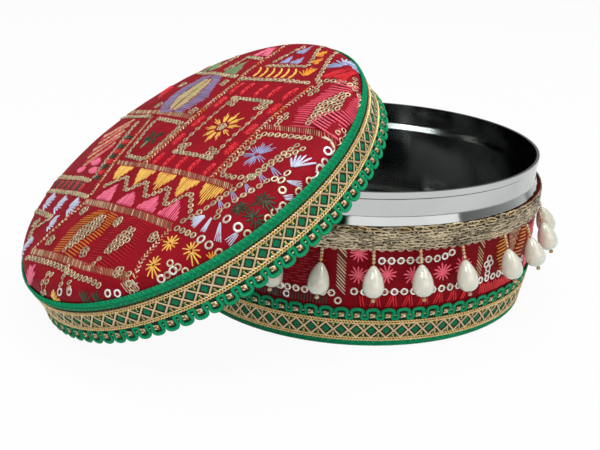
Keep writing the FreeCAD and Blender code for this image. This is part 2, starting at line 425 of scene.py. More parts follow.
def paced(a, b, pitch):
    """The points of a spread from a to b that are about a pitch apart."""
    return spread(a, b, max(1, round((Vector(b) - Vector(a)).length / pitch)))


def square_to(way):
    """The flat direction to the left of a way."""
    return Vector((-way.y, way.x))


def towards(angle_deg, length=1.0):
    """The flat way at an angle, of a length."""
    angle = math.radians(angle_deg)
    return Vector((math.cos(angle), math.sin(angle))) * length


def hatched_band(cloth, path, width, flosses=GOLD_HATCH, pitch=1.2, slant=0.7, thread=0.48):
    """A band of slanted gold stitches along a path, with the cloth showing between them."""
    for a, b in zip(path, path[1:]):
        way = (Vector(b) - Vector(a)).normalized()
        reach = square_to(way) * (width / 2) - way * (slant * width / 2)
        for middle in paced(a, b, pitch):
            cloth.stitch(middle - reach, middle + reach, cloth.luck.choice(flosses), thread, metal=True)


def rope(cloth, path, width):
    """A plaited gold line: two rows of stitches that slant against each other, bright and dull by turns."""
    side = square_to((Vector(path[-1]) - Vector(path[0])).normalized()) * (width / 4)
    for hand in (-1, 1):
        row = [Vector(point) + side * hand for point in path]
        hatched_band(cloth, row, width=width / 2, flosses=ROPE_HATCH, pitch=1.9, slant=0.9 * hand,
                     thread=0.65)


def sequin_row(cloth, path, pitch, radius=1.65, floss="antique"):
    """Ring sequins along a path, one beside the next, on the thread that runs through them."""
    for a, b in zip(path, path[1:]):
        places = paced(a, b, pitch)
        for middle in places:
            cloth.sequin(middle, radius, floss)
        for here, there in zip(places, places[1:]):
            cloth.stitch(here, there, "old_gold", 0.45, metal=True)


def gold_chain(cloth, path, pitch=2.6, width=0.8):
    """A line of chain stitch in gold thread: each link is two stitches that meet at its ends."""
    for a, b in zip(path, path[1:]):
        way = (Vector(b) - Vector(a)).normalized()
        side = square_to(way) * 0.7
        reach = way * (0.55 * pitch)
        for middle in paced(a, b, pitch):
            for hand in (-1, 1):
                root, tip = middle - reach + side * hand, middle + reach + side * hand * 0.2
                cloth.stitch(root, tip, "old_gold", width, metal=True)


def star(cloth, middle, radius, rays, floss, width, heart=0.12):
    """Long stitches from the middle of a star out to its points."""
    turn = cloth.luck.uniform(0, 360)
    for k in range(rays):
        way = towards(turn + 360 * k / rays, radius)
        tip = Vector(middle) + way * cloth.luck.uniform(0.8, 1.08)
        cloth.stitch(Vector(middle) + way * heart, tip, floss, width)


def petals(cloth, middle, radius, aims_deg, floss, strands=3, spread_mm=1.2, heart=1.0, width=0.65):
    """Pointed petals of a few stitches each, fraying a little at their tips."""
    for aim in aims_deg:
        way = towards(aim)
        side = square_to(way)
        for k in range(strands):
            share = 2 * k / (strands - 1) - 1
            near = Vector(middle) + way * heart + side * (0.35 * spread_mm * share)
            far = radius * (1 - 0.22 * abs(share)) * cloth.luck.uniform(0.88, 1.08)
            cloth.stitch(near, Vector(middle) + way * far + side * (spread_mm * share), floss, width)


def fan(cloth, foot, aim_deg, spread_deg, radius, rays, floss, width=0.9):
    """Stitches fanned out from a foot, as in a tassel or a shell."""
    for k in range(rays):
        way = towards(aim_deg + spread_deg * (k / (rays - 1) - 0.5), radius)
        tip = Vector(foot) + way * cloth.luck.uniform(0.85, 1.08)
        cloth.stitch(Vector(foot) + way * 0.15, tip, floss, width)


def tassel(cloth, knot, end, floss, strands=3, spread_mm=1.4, width=0.5):
    """A few stitches from one knot, parting towards their ends."""
    knot, end = Vector(knot), Vector(end)
    side = square_to((end - knot).normalized())
    for k in range(strands):
        share = 2 * k / (strands - 1) - 1
        cloth.stitch(knot + side * (0.3 * share), end + side * (spread_mm * share), floss, width)


def curl(cloth, foot, tip, bow, floss, width):
    """A curved stroke of two strands, each worked as three stitches."""
    foot, tip = Vector(foot), Vector(tip)
    side = square_to((tip - foot).normalized())
    for strand in (-0.4, 0.4):
        path = []
        for k in range(4):
            aside = strand * (1 - k / 4) + bow * math.sin(math.pi * k / 3)
            path.append(foot.lerp(tip, k / 3) + side * aside)
        for a, b in zip(path, path[1:]):
            cloth.stitch(a, b, floss, width)


def flame_leaf(cloth, foot, way, width, reach, floss, pitch=1.35):
    """A leaf of straight stitches side by side on its flat foot, longest in the middle, with ragged ends."""
    foot, way = Vector(foot), Vector(way).normalized()
    side = square_to(way) * (width / 2)
    for start in paced(foot - side, foot + side, pitch):
        across = (start - foot).length / (width / 2)
        end = start + way * (reach * (1 - across) ** 0.55 * cloth.luck.uniform(0.8, 1.12))
        cloth.stitch(start, end, floss, cloth.luck.uniform(0.6, 0.95))


def between(stops, level):
    """The left and right of a shape at a level, from its (level, left, right) stops, highest first."""
    for (high, left_a, right_a), (low, left_b, right_b) in zip(stops, stops[1:]):
        if high >= level >= low:
            share = (high - level) / (high - low)
            return left_a + (left_b - left_a) * share, right_a + (right_b - right_a) * share
    return None


def comb_eye(cloth, outline, leaf, floss, pitch=1.35, lean=0.14, width=0.75):
    """Level stitches in an eye, on both sides of the leaf left in it; both are given by their stops."""
    level = outline[0][0] - pitch / 2
    while level > outline[-1][0]:
        left, right = between(outline, level)
        middle = (left + right) / 2
        gap = between(leaf, level) or (middle, middle)
        for inner, outer in ((gap[0] - 0.5, left), (gap[1] + 0.5, right)):
            outer += cloth.luck.uniform(-0.8, 0.8)
            cloth.stitch((inner, level), (outer, level - lean * abs(outer - inner)), floss, width)
        level -= pitch


def ring_leaf(cloth, stops, pitch=2.9, radius=1.5):
    """Ring sequins packed into a leaf given by its stops."""
    level = stops[0][0] - pitch / 2
    while level > stops[-1][0]:
        left, right = between(stops, level)
        for middle in paced((left, level), (right, level), pitch):
            cloth.sequin(middle, radius)
        level -= 0.9 * pitch


def feather(cloth, foot, tip, reach, floss, teeth=7):
    """A curved rib of long stitches, with teeth along its hollow side."""
    foot, tip = Vector(foot), Vector(tip)
    way = (tip - foot).normalized()
    side = square_to(way) * reach
    curl(cloth, foot, tip, bow=0.45 * reach, floss=floss, width=1.4)
    for tooth in range(teeth):
        share = tooth / (teeth - 1)
        root = foot.lerp(tip, share) + side * (0.4 * math.sin(math.pi * share))
        length = cloth.luck.uniform(0.7, 1.1) * (0.4 + 0.7 * math.sin(math.pi * share))
        cloth.stitch(root, root - side * length - way * (0.5 * reach), floss, 0.75)


def clover(cloth, middle, aim_deg, rings, radius=1.5):
    """A few ring sequins close together round one place."""
    for turn in range(rings):
        cloth.sequin(Vector(middle) + towards(aim_deg + 360 * turn / rings, 1.15 * radius), radius)


def trefoil(cloth, middle, aim_deg, radius, floss="antique"):
    """Three ring sequins in a clover on a stem of two more."""
    for turn, far in ((0, 2.7), (92, 1.7), (-92, 1.7), (180, 2.7), (180, 5.4)):
        cloth.sequin(Vector(middle) + towards(aim_deg + turn, far), radius, floss)


def bars(cloth, a_path, b_path, count, flosses, width):
    """Satin bars across the strip between two lines, in the flosses by turns."""
    for k, (a, b) in enumerate(zip(spread(*a_path, count), spread(*b_path, count))):
        for strand in (-0.5, 0.5):
            shift = (Vector(a_path[1]) - Vector(a_path[0])).normalized() * (strand * width)
            cloth.stitch(a + shift, b + shift, flosses[k % len(flosses)], width)


def running_rows(cloth, left, right, low, high, rows, length, gap, floss, width=0.6):
    """Level running stitches filling a patch, shifted from row to row."""
    for row in range(rows):
        level = low + (high - low) * (row + 0.5) / rows
        start = left + cloth.luck.uniform(0, length)
        while start + length < right:
            cloth.stitch((start, level), (start + length * cloth.luck.uniform(0.8, 1.0), level), floss, width)
            start += length + gap


def upright_fringe(cloth, left, right, low, high, pitch, floss, lean=0.0, width=0.8):
    """Upright stitches side by side."""
    for middle in paced((left, 0), (right, 0), pitch):
        top = high - cloth.luck.uniform(0, 0.2) * (high - low)
        cloth.stitch((middle.x, low), (middle.x + lean, top), floss, width)


def on_band(across, height):
    """Where a flat point of the band lies, across being measured from its front, and which way it faces."""
    angle = math.radians(FRONT_DEG) + across / BELLY_RADIUS
    out = Vector((math.cos(angle), math.sin(angle), 0))
    radius = band_face(angle, height)
    return out * radius + Vector((0, 0, height)), out


def cream_row(cloth, path, pitch=4.6):
    """A row of the band's cream ring sequins."""
    sequin_row(cloth, path, pitch, BAND_SEQUIN, "cream")


def upright_band(cloth, across, width, flosses, slant):
    """A hatched band up the seam between two patches."""
    hatched_band(cloth, [(across, 30), (across, 53)], width, flosses, pitch=1.8, slant=slant, thread=0.65)


def satin_patch(cloth, left):
    """A patch of dark red level satin over grey-green uprights, with a row of sequins between."""
    running_rows(cloth, left=left + 4, right=left + 30, low=32, high=50, rows=13, length=5.5, gap=1.2,
                 floss="blood")
    upright_fringe(cloth, left=left, right=left + 30, low=FRINGE_FOOT, high=27.5, pitch=1.5, floss="olive",
                   lean=0.5)
    cream_row(cloth, [(left + 4, 29), (left + 34, 29)], pitch=4.4)
    for middle in ((left + 26, 32.5), (left + 26.5, 36.2), (left + 35, 25.2)):
        cloth.sequin(middle, BAND_SEQUIN, "cream")
    return left + 34


def star_patch(cloth, left):
    """A patch of pink stars between two rows of sequins, behind an upright hatched band."""
    upright_band(cloth, left + 2, width=4.5, flosses=("antique", "olive", "pale_gold"), slant=-1.1)
    for across, height in ((9.7, 50), (10, 39), (23, 39.5), (35.5, 39), (50.5, 39), (61.4, 41)):
        star(cloth, (left + across, height), radius=4.9, rays=12, floss="coral", width=0.8, heart=0.0)
    cream_row(cloth, [(left + 18, 46.5), (left + 49, 46.5), (left + 56, 49.5)])
    cream_row(cloth, [(left + 6, 30.5), (left + 72, 30.5)])
    for k in range(14):
        foot = left + 12 + 3.9 * k
        lean = 2.2 if k % 2 else -1.0
        for step in range(2):
            cloth.stitch((foot + 1.3 * step, FRINGE_FOOT), (foot + lean + 1.1 * step, 28.5), "scarlet", 0.7)
    return left + 70


def comb_patch(cloth, left):
    """A patch with an amber comb eye round a gold leaf, a clover of sequins and a red fringe below."""
    upright_band(cloth, left + 2, width=4.2, flosses=("old_gold", "olive", "old_gold"), slant=-1.2)
    trefoil(cloth, (left + 8.5, 38.5), aim_deg=90, radius=1.8, floss="cream")
    eye = left + 28
    comb_eye(cloth, [(54, eye - 14, eye + 14), (45, eye - 15, eye + 15), (31, eye - 9, eye + 9)],
             [(54, eye - 8, eye + 8), (45, eye - 6, eye + 6), (36, eye - 0.5, eye + 0.5)], "amber", pitch=1.8)
    for row in range(6):
        reach = 6.0 * (1 - row / 6.5)
        level = 51 - 2.3 * row
        hatched_band(cloth, [(eye - reach, level), (eye + reach, level)], width=2.3, flosses=("old_gold",))
    cream_row(cloth, [(left + 2, 30.5), (left + 46, 31.5)])
    upright_fringe(cloth, left=left + 4, right=left + 46, low=FRINGE_FOOT, high=29, pitch=1.35,
                   floss="scarlet")
    upright_fringe(cloth, left=left + 48, right=left + 58, low=24, high=50, pitch=1.1, floss="coral",
                   width=1.0)
    return left + 61


def ring_faces(count, size, closed=True):
    """The faces between rings of points that follow one another, each of the same size."""
    faces = []
    for k in range(count if closed else count - 1):
        here, there = k * size, (k + 1) % count * size
        for corner in range(size):
            after = (corner + 1) % size
            faces.append([here + corner, there + corner, there + after, here + after])
    return faces


def thread_unit():
    """One stitch of a length of 1 along X: a flattened twist of floss, arched from hole to hole."""
    stations = [(-0.5, 0.3, -0.35), (-0.32, 0.5, 0.35), (0.32, 0.5, 0.35), (0.5, 0.3, -0.35)]
    points, laid = [], []
    for along, half, lift in stations:
        points += [(along, -half, lift - 0.35), (along, -0.55 * half, lift + 0.5),
                   (along, 0.55 * half, lift + 0.5), (along, half, lift - 0.35)]
    alongs = [station[0] for station in stations]
    for start, end in zip(alongs, alongs[1:]):
        for side in range(4):
            low, high = side / 4, (side + 1) / 4
            laid.append([(start, low), (end, low), (end, high), (start, high)])
    last = len(points) - 4
    ends = [[0, 1, 2, 3], [last + 3, last + 2, last + 1, last]]
    return points, ring_faces(len(stations), 4, closed=False) + ends, laid + [[(0, 0)] * 4] * 2


def ring_unit(hole=0.55, sides=14):
    """One ring sequin of radius 1: a dished disc with a round hole and a turned edge."""
    section = [(1.0, 0.0), (0.95, 0.12), (0.74, 0.17), (hole, 0.08), (hole, 0.0), (0.8, -0.02)]
    points = []
    for k in range(sides):
        turn = Matrix.Rotation(math.tau * k / sides, 3, "Z")
        points += [turn @ Vector((radius, 0, height)) for radius, height in section]
    return points, ring_faces(sides, len(section)), None


def unit_object(name, points, faces, laid):
    """An object that a tree repeats; its mesh stays in millimetres until the work is finished."""
    mesh = mesh_of(name, points, faces, laid)
    mesh.transform(Matrix.Scale(1 / MM, 4))
    unit = bpy.data.objects.new(name, mesh)
    bpy.context.scene.collection.objects.link(unit)
    return unit


def new_tree(name, inputs):
    """An empty geometry tree with named inputs, its group input and its group output."""
    tree = bpy.data.node_groups.new(name, "GeometryNodeTree")
    for label, kind in inputs:
        tree.interface.new_socket(name=label, in_out="INPUT", socket_type=kind)
    tree.interface.new_socket(name="Work", in_out="OUTPUT", socket_type="NodeSocketGeometry")
    return tree, tree.nodes.new("NodeGroupInput"), tree.nodes.new("NodeGroupOutput")


def close_tree(tree, out, geometry, finish):
    """Ends a tree: instances made real, and the finish set."""
    real = add_node(tree, "GeometryNodeRealizeInstances", {"Geometry": geometry})
    dressed = add_node(tree, "GeometryNodeSetMaterial",
                       {"Geometry": real.outputs["Geometry"], "Material": finish})
    tree.links.new(dressed.outputs["Geometry"], out.inputs["Work"])
    return tree


def sewing_tree():
    """Sets one unit at every hole, along the stitch, standing on the cloth and stretched to its size."""
    inputs = [("Holes", "NodeSocketGeometry"), ("Unit", "NodeSocketObject"), ("Finish", "NodeSocketMaterial")]
    tree, given, out = new_tree("sewn_at_holes", inputs)
    reads = {}
    for label in ("along", "up", "size"):
        reads[label] = add_node(tree, "GeometryNodeInputNamedAttribute", {"Name": label},
                                data_type="FLOAT_VECTOR").outputs["Attribute"]
    aimed = add_node(tree, "FunctionNodeAlignRotationToVector", {"Vector": reads["along"]}, axis="X")
    stood = add_node(tree, "FunctionNodeAlignRotationToVector",
                     {"Rotation": aimed.outputs["Rotation"], "Vector": reads["up"]}, axis="Z", pivot_axis="X")
    unit = add_node(tree, "GeometryNodeObjectInfo", {"Object": given.outputs["Unit"]})
    sewn = add_node(tree, "GeometryNodeInstanceOnPoints",
                    {"Points": given.outputs["Holes"], "Instance": unit.outputs["Geometry"],
                     "Rotation": stood.outputs["Rotation"], "Scale": reads["size"]})
    return close_tree(tree, out, sewn.outputs["Instances"], given.outputs["Finish"])


def worked(tree, mesh, inputs):
    """The plain mesh that a tree makes of a mesh with the inputs set by name."""
    holder = bpy.data.objects.new("work", mesh)
    bpy.context.scene.collection.objects.link(holder)
    modifier = holder.modifiers.new("work", "NODES")
    modifier.node_group = tree
    for item in tree.interface.items_tree:
        if item.in_out == "INPUT" and item.name in inputs:
            modifier[item.identifier] = inputs[item.name]
    made = bpy.data.meshes.new_from_object(holder.evaluated_get(bpy.context.evaluated_depsgraph_get()))
    holder.modifiers.remove(modifier)
    bpy.data.objects.remove(holder)
    bpy.data.meshes.remove(mesh)
    return made


def dye_points(mesh, dyes):
    """Gives each point of a mesh its dye."""
    layer = mesh.attributes.new("dye", "FLOAT_COLOR", "POINT")
    layer.data.foreach_set("color", [value for dye in dyes for value in (*dye, 1.0)])


def sewn(name, stitches, unit, finish, place=Matrix()):
    """A piece of all the stitches in a list of (middle, along, up, size, dye)."""
    holes = bpy.data.meshes.new("holes")
    holes.from_pydata([tuple(stitch[0]) for stitch in stitches], [], [])
    for column, label in enumerate(("along", "up", "size"), start=1):
        layer = holes.attributes.new(label, "FLOAT_VECTOR", "POINT")
        layer.data.foreach_set("vector", [value for stitch in stitches for value in stitch[column]])
    dye_points(holes, [stitch[4] for stitch in stitches])
    mesh = worked(needle_tree, holes, {"Unit": unit, "Finish": finish})
    for label in ("along", "up", "size"):
        if label in mesh.attributes:
            mesh.attributes.remove(mesh.attributes[label])
    mesh.transform(metres(place))
    return piece_from(name, mesh, finish, sharp_deg=60.0)


def own_dye(tree):
    """The colour that a thread or bead was dyed."""
    return add_node(tree, "ShaderNodeAttribute", attribute_name="dye").outputs["Color"]


def toned(tree, colour, shade):
    """A colour made darker or lighter by a shade."""
    node = add_node(tree, "ShaderNodeMix", {"Factor": 1.0, 6: colour, 7: shade}, data_type="RGBA",
                    blend_type="MULTIPLY")
    return node.outputs[2]


def dyed_thread(name, metal, rough, twist, shine=0.45, groove_shade=0.62):
    """Thread in its dyed colour, with the ply twisting along it and painted shade in the grooves between
    plies.
    """
    material, tree, surface = new_finish(name, {"Metallic": metal, "Specular IOR Level": shine})
    skew = add_node(tree, "ShaderNodeMapping", {"Vector": laid_out(tree), "Scale": (twist, 1.0, 1.0)})
    ply = ribs(tree, skew.outputs["Vector"], 1.0, "DIAGONAL")
    # Painted shade: the dye darkens in the grooves between the plies.
    colour = toned(tree, own_dye(tree), shaded(tree, ply, (0.0, groove_shade), (0.6, 1.0)))
    coat(tree, surface, colour, shaded(tree, ply, (0.0, rough + 0.15), (1.0, rough)))
    bump(tree, surface, ply, strength=0.35, distance=0.0001)
    return material


def stamped_metal(name, rough):
    """Thin stamped metal in its own colour, with the odd dull or scuffed spot."""
    material, tree, surface = new_finish(name, {"Metallic": 0.45})
    spots = noise(tree, in_place(tree), 900.0)
    colour = toned(tree, own_dye(tree), shaded(tree, spots, (0.35, 0.72), (0.6, 1.0)))
    coat(tree, surface, colour, shaded(tree, spots, (0.3, rough + 0.2), (0.65, rough)))
    return material


def made_up(cloth, prefix, body, place=Matrix()):
    """Makes the pieces of all that is sewn on a cloth: its silk, its zari and its sequins."""
    for kind, stitches, unit, finish, slot in (
        ("silk_stitches", cloth.silk, floss_unit, silk_floss, "embroidered_cloth"),
        ("zari_stitches", cloth.zari, floss_unit, zari_thread, "gold_thread"),
        ("sequins", cloth.sequins, sequin_unit, ring_metal, "gold_thread"),
    ):
        piece = sewn(f"{prefix}_{kind}", stitches, unit, finish, place)
        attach(piece, body)


needle_tree = sewing_tree()
floss_unit = unit_object("floss_unit", *thread_unit())
sequin_unit = unit_object("sequin_unit", *ring_unit())
silk_floss = dyed_thread("silk_floss", metal=0.0, rough=0.32, twist=4.0, groove_shade=0.8)
zari_thread = dyed_thread("zari_thread", metal=0.3, rough=0.42, twist=12.0)
ring_metal = stamped_metal("ring_sequin_metal", rough=0.26)

band = Cloth(on_band, seed=3)
patch_left = -42.0
for patch in [satin_patch, star_patch, comb_patch] * 3 + [star_patch, satin_patch]:
    patch_left = patch(band, patch_left)
made_up(band, "band", "box")

# Zari braid: a crocheted tape of antique metal thread, glued over the band's top edge. Rows of long chain
# loops lie on a woven ground coloured near black, as painted shade in the gaps between them; a fuller chain
# binds the top edge, and small discs peep out below.
BRAID_BOTTOM = 52.8
BRAID_TOP = 63.9
BRAID_GROUND = 0.5
OVER_BAND = FABRIC + 2 * GLUE_GAP
LOOP_LENGTH = 6.4
LOOP_HEIGHT = 1.7
LOOP_THREAD = 0.34
LOOP_OVERLAP = 0.62
PICOT_PITCH = 4.4
PICOT_SIZE = (2.0, 1.9, 1.6)
CROCHET_ROWS = (0.7, 1.8, 3.3, 4.4, 5.5, 6.6, 8.1, 9.7)
BRAID_LUCK = random.Random(11)
FLOSS.update({
    "zari_grey": dyed(220, 202, 168), "shell_pink": dyed(190, 160, 140), "amber_zari": dyed(226, 198, 146),
})


def tube(path, radius, sides, flat=1.0, out=Vector((1, 0, 0)), ring=False):
    """A cord along a path, flattened towards out; ring joins its ends, and open ends are capped."""
    path = [Vector(point) for point in path]
    last = len(path) - 1
    points, laid, travelled = [], [], 0.0
    for k, middle in enumerate(path):
        before = path[k - 1] if ring or k else middle
        after = path[(k + 1) % len(path)] if ring or k < last else middle
        way = (after - before).normalized()
        side = way.cross(out).normalized()
        up = side.cross(way)
        for corner in range(sides):
            turn = math.tau * (corner + 0.5) / sides
            points.append(middle + side * (radius * math.cos(turn)) + up * (radius * flat * math.sin(turn)))
    for k in range(len(path) if ring else last):
        end = travelled + (path[(k + 1) % len(path)] - path[k]).length
        for corner in range(sides):
            low, high = corner / sides, (corner + 1) / sides
            laid.append([(travelled, low), (end, low), (end, high), (travelled, high)])
        travelled = end
    faces = ring_faces(len(path), sides, closed=ring)
    if not ring:
        faces += [list(range(sides)), list(range(last * sides, (last + 1) * sides))]
        laid += [[(0, 0)] * sides] * 2
    return points, faces, laid


def chain_loop(length, height, radius, segments=10, sides=4):
    """One long crocheted loop, lying in the XY plane."""
    path = []
    for k in range(segments):
        turn = math.tau * k / segments
        pinch = 1 - 0.25 * math.cos(turn)
        path.append((length / 2 * math.cos(turn), height / 2 * math.sin(turn) * pinch, 0.18 * math.cos(turn)))
    return tube(path, radius, sides, out=Vector((0, 0, 1)), ring=True)


def woven_ground(name, dark, light, scale):
    """A close weave under open threads, mottled between a dark and a light colour."""
    material, tree, surface = new_finish(name, {"Specular IOR Level": 0.3})
    lay = laid_out(tree)
    weft = ribs(tree, lay, scale, "DIAGONAL", distortion=1.2)
    mixed = reckoned(tree, "MULTIPLY", weft, noise(tree, lay, 1.1, detail=3.0))
    colour = ramp(tree, mixed, [(0.15, dark), (0.55, light)])
    coat(tree, surface, colour, shaded(tree, weft, (0.0, 0.8), (1.0, 0.55)))
    bump(tree, surface, mixed, strength=0.6, distance=0.0003)
    return material


def on_braid(angle, height, lift):
    """A point over the braid's ground, which way it faces and which way is round the box."""
    out = Vector((math.cos(angle), math.sin(angle), 0))
    middle = out * (wall_radius(height) + OVER_BAND + lift) + Vector((0, 0, height))
    return middle, out, Vector((-out.y, out.x, 0))


def braid_loops():
    """Rows of crocheted loops, each overlapping the next and no two quite alike."""
    loops = []
    for row, level in enumerate(CROCHET_ROWS):
        top_row = level == CROCHET_ROWS[-1]
        size = 1.1 if top_row else 1.0
        count = round(math.tau * SHOULDER_RADIUS / (LOOP_LENGTH * size * LOOP_OVERLAP))
        for k in range(count):
            angle = math.tau * (k + 0.5 * (row % 2) + BRAID_LUCK.uniform(-0.2, 0.2)) / count
            height = BRAID_BOTTOM + level + BRAID_LUCK.uniform(-0.2, 0.2)
            middle, out, along = on_braid(angle, height, BRAID_LUCK.uniform(0.5, 1.0))
            tilt = BRAID_LUCK.uniform(-0.2, 0.2) if top_row else BRAID_LUCK.uniform(-0.08, 0.08)
            bright = BRAID_LUCK.uniform(0.22, 1.2)
            colour = FLOSS["amber_zari"] if top_row and BRAID_LUCK.random() < 0.5 else FLOSS["zari_grey"]
            scale = size * BRAID_LUCK.uniform(0.85, 1.15)
            loops.append((middle, along + Vector((0, 0, tilt)), out, (scale, scale, 1.0),
                          tuple(bright * share for share in colour)))
    return loops


# Painted shade: the braid's ground is near black, standing for the shade in the gaps between the loops.
braid_base = woven_ground("braid_ground", dyed(24, 18, 10), dyed(74, 60, 40), scale=0.35)
braid_profile = strip_profile(wall_radius, BRAID_BOTTOM + 0.3, BRAID_TOP - 0.4, OVER_BAND, BRAID_GROUND)
braid_mesh = spun("braid_ground", braid_profile, turns=300, closed=True)
braid_ground = piece_from("braid_ground", braid_mesh, braid_base)
loop_unit = unit_object("loop_unit", *chain_loop(LOOP_LENGTH, LOOP_HEIGHT, LOOP_THREAD))
crochet_thread = dyed_thread("crochet_zari", metal=0.75, rough=0.3, twist=1.1)
braid_crochet = sewn("braid_crochet", braid_loops(), loop_unit, crochet_thread)
bpy.data.objects.remove(loop_unit)
picots = []
picot_count = round(math.tau * wall_radius(BRAID_BOTTOM) / PICOT_PITCH)
for k in range(picot_count):
    middle, out, along = on_braid(math.tau * k / picot_count, BRAID_BOTTOM + 0.1, -0.05)
    shade = BRAID_LUCK.uniform(0.75, 1.1)
    picots.append((middle, along, out, PICOT_SIZE, tuple(shade * share for share in FLOSS["shell_pink"])))
braid_picots = sewn("braid_picots", picots, sequin_unit, ring_metal)
for piece in (braid_ground, braid_crochet, braid_picots):
    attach(piece, "box")
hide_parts("zari_braid")

# Base lace: a machine-made trimming glued round the foot, its looped edge up. A green cord binds its lower
# edge, then come a gold chain, a gold lattice with green lozenges, a second chain, and loops of green gimp
# with a gold knot in each. The gold is metal thread, and the green is rayon.
LACE_WIDTH = 22.2
GOLD_LIFT = 1.2
FLOOR_ROOM = 0.8
CORD_RADIUS = 1.3
CORD_RIBS = 8
CHAIN_ROWS = (4.7, 14.2)
CHAIN_STITCHES = 5
LATTICE_LOW = 5.7
LATTICE_HIGH = 13.3
LATTICE_MIDDLE = (LATTICE_LOW + LATTICE_HIGH) / 2
LOZENGE_THREADS = 9
LOZENGE_REACH = 2.05
GROUND_TOP = 15.2
GROUND_THICKNESS = 0.9
GIMP_LOW = 15.9
GIMP_HIGH = 21.3
GIMP_STRANDS = (-0.5, 0.0, 0.5)
GIMP_STEPS = 22
GIMP_BACKING = ((-0.18, 20.8), (0, 21.1), (0.18, 20.8), (0.42, 19.4), (0.58, 19.4))
BACKING_LOW = 15.3
LOOP_PITCH = 7.3
LOOP_BULGE = 0.75
LOOP_SQUARE = 1.02
KNOT_MIDDLE = 18.0
FLOSS.update({
    "emerald": dyed(0, 148, 97), "deep_green": dyed(0, 60, 40), "leaf_green": dyed(0, 174, 114),
    "lace_gold": dyed(250, 212, 136), "lace_straw": dyed(252, 226, 186), "lace_bronze": dyed(168, 118, 62),
    "satin_green": dyed(0, 128, 86),
})


def gathered(parts):
    """Several (points, faces, laid, floss) as one set of points, faces, laid corners and dyes."""
    points, faces, laid, dyes = [], [], [], []
    for part_points, part_faces, part_laid, floss in parts:
        start = len(points)
        points += part_points
        faces += [[start + corner for corner in face] for face in part_faces]
        laid += part_laid
        dyes += [FLOSS[floss]] * len(part_points)
    return points, faces, laid, dyes


def turning_tree():
    """Repeats one unit a number of times round the axis."""
    inputs = [("Unit", "NodeSocketObject"), ("Count", "NodeSocketInt"), ("Finish", "NodeSocketMaterial")]
    tree, given, out = new_tree("turned_round", inputs)
    stands = add_node(tree, "GeometryNodeMeshLine", {"Count": given.outputs["Count"], "Offset": (0, 0, 0)})
    index = add_node(tree, "GeometryNodeInputIndex")
    share = reckoned(tree, "DIVIDE", index.outputs["Index"], given.outputs["Count"])
    turn = add_node(tree, "ShaderNodeCombineXYZ", {"Z": reckoned(tree, "MULTIPLY", share, math.tau)})
    unit = add_node(tree, "GeometryNodeObjectInfo", {"Object": given.outputs["Unit"]})
    round_it = add_node(tree, "GeometryNodeInstanceOnPoints",
                        {"Points": stands.outputs["Mesh"], "Instance": unit.outputs["Geometry"],
                         "Rotation": turn.outputs["Vector"]})
    return close_tree(tree, out, round_it.outputs["Instances"], given.outputs["Finish"])


def repeated(name, parts, count, finish, place):
    """A piece of one repeat of the lace, turned round the axis."""
    points, faces, laid, dyes = gathered(parts)
    unit = unit_object("repeat", points, faces, laid)
    dye_points(unit.data, dyes)
    mesh = worked(lace_tree, bpy.data.meshes.new("nothing"), {"Unit": unit, "Count": count, "Finish": finish})
    bpy.data.objects.remove(unit)
    mesh.transform(metres(place))
    return piece_from(name, mesh, finish, sharp_deg=50.0)


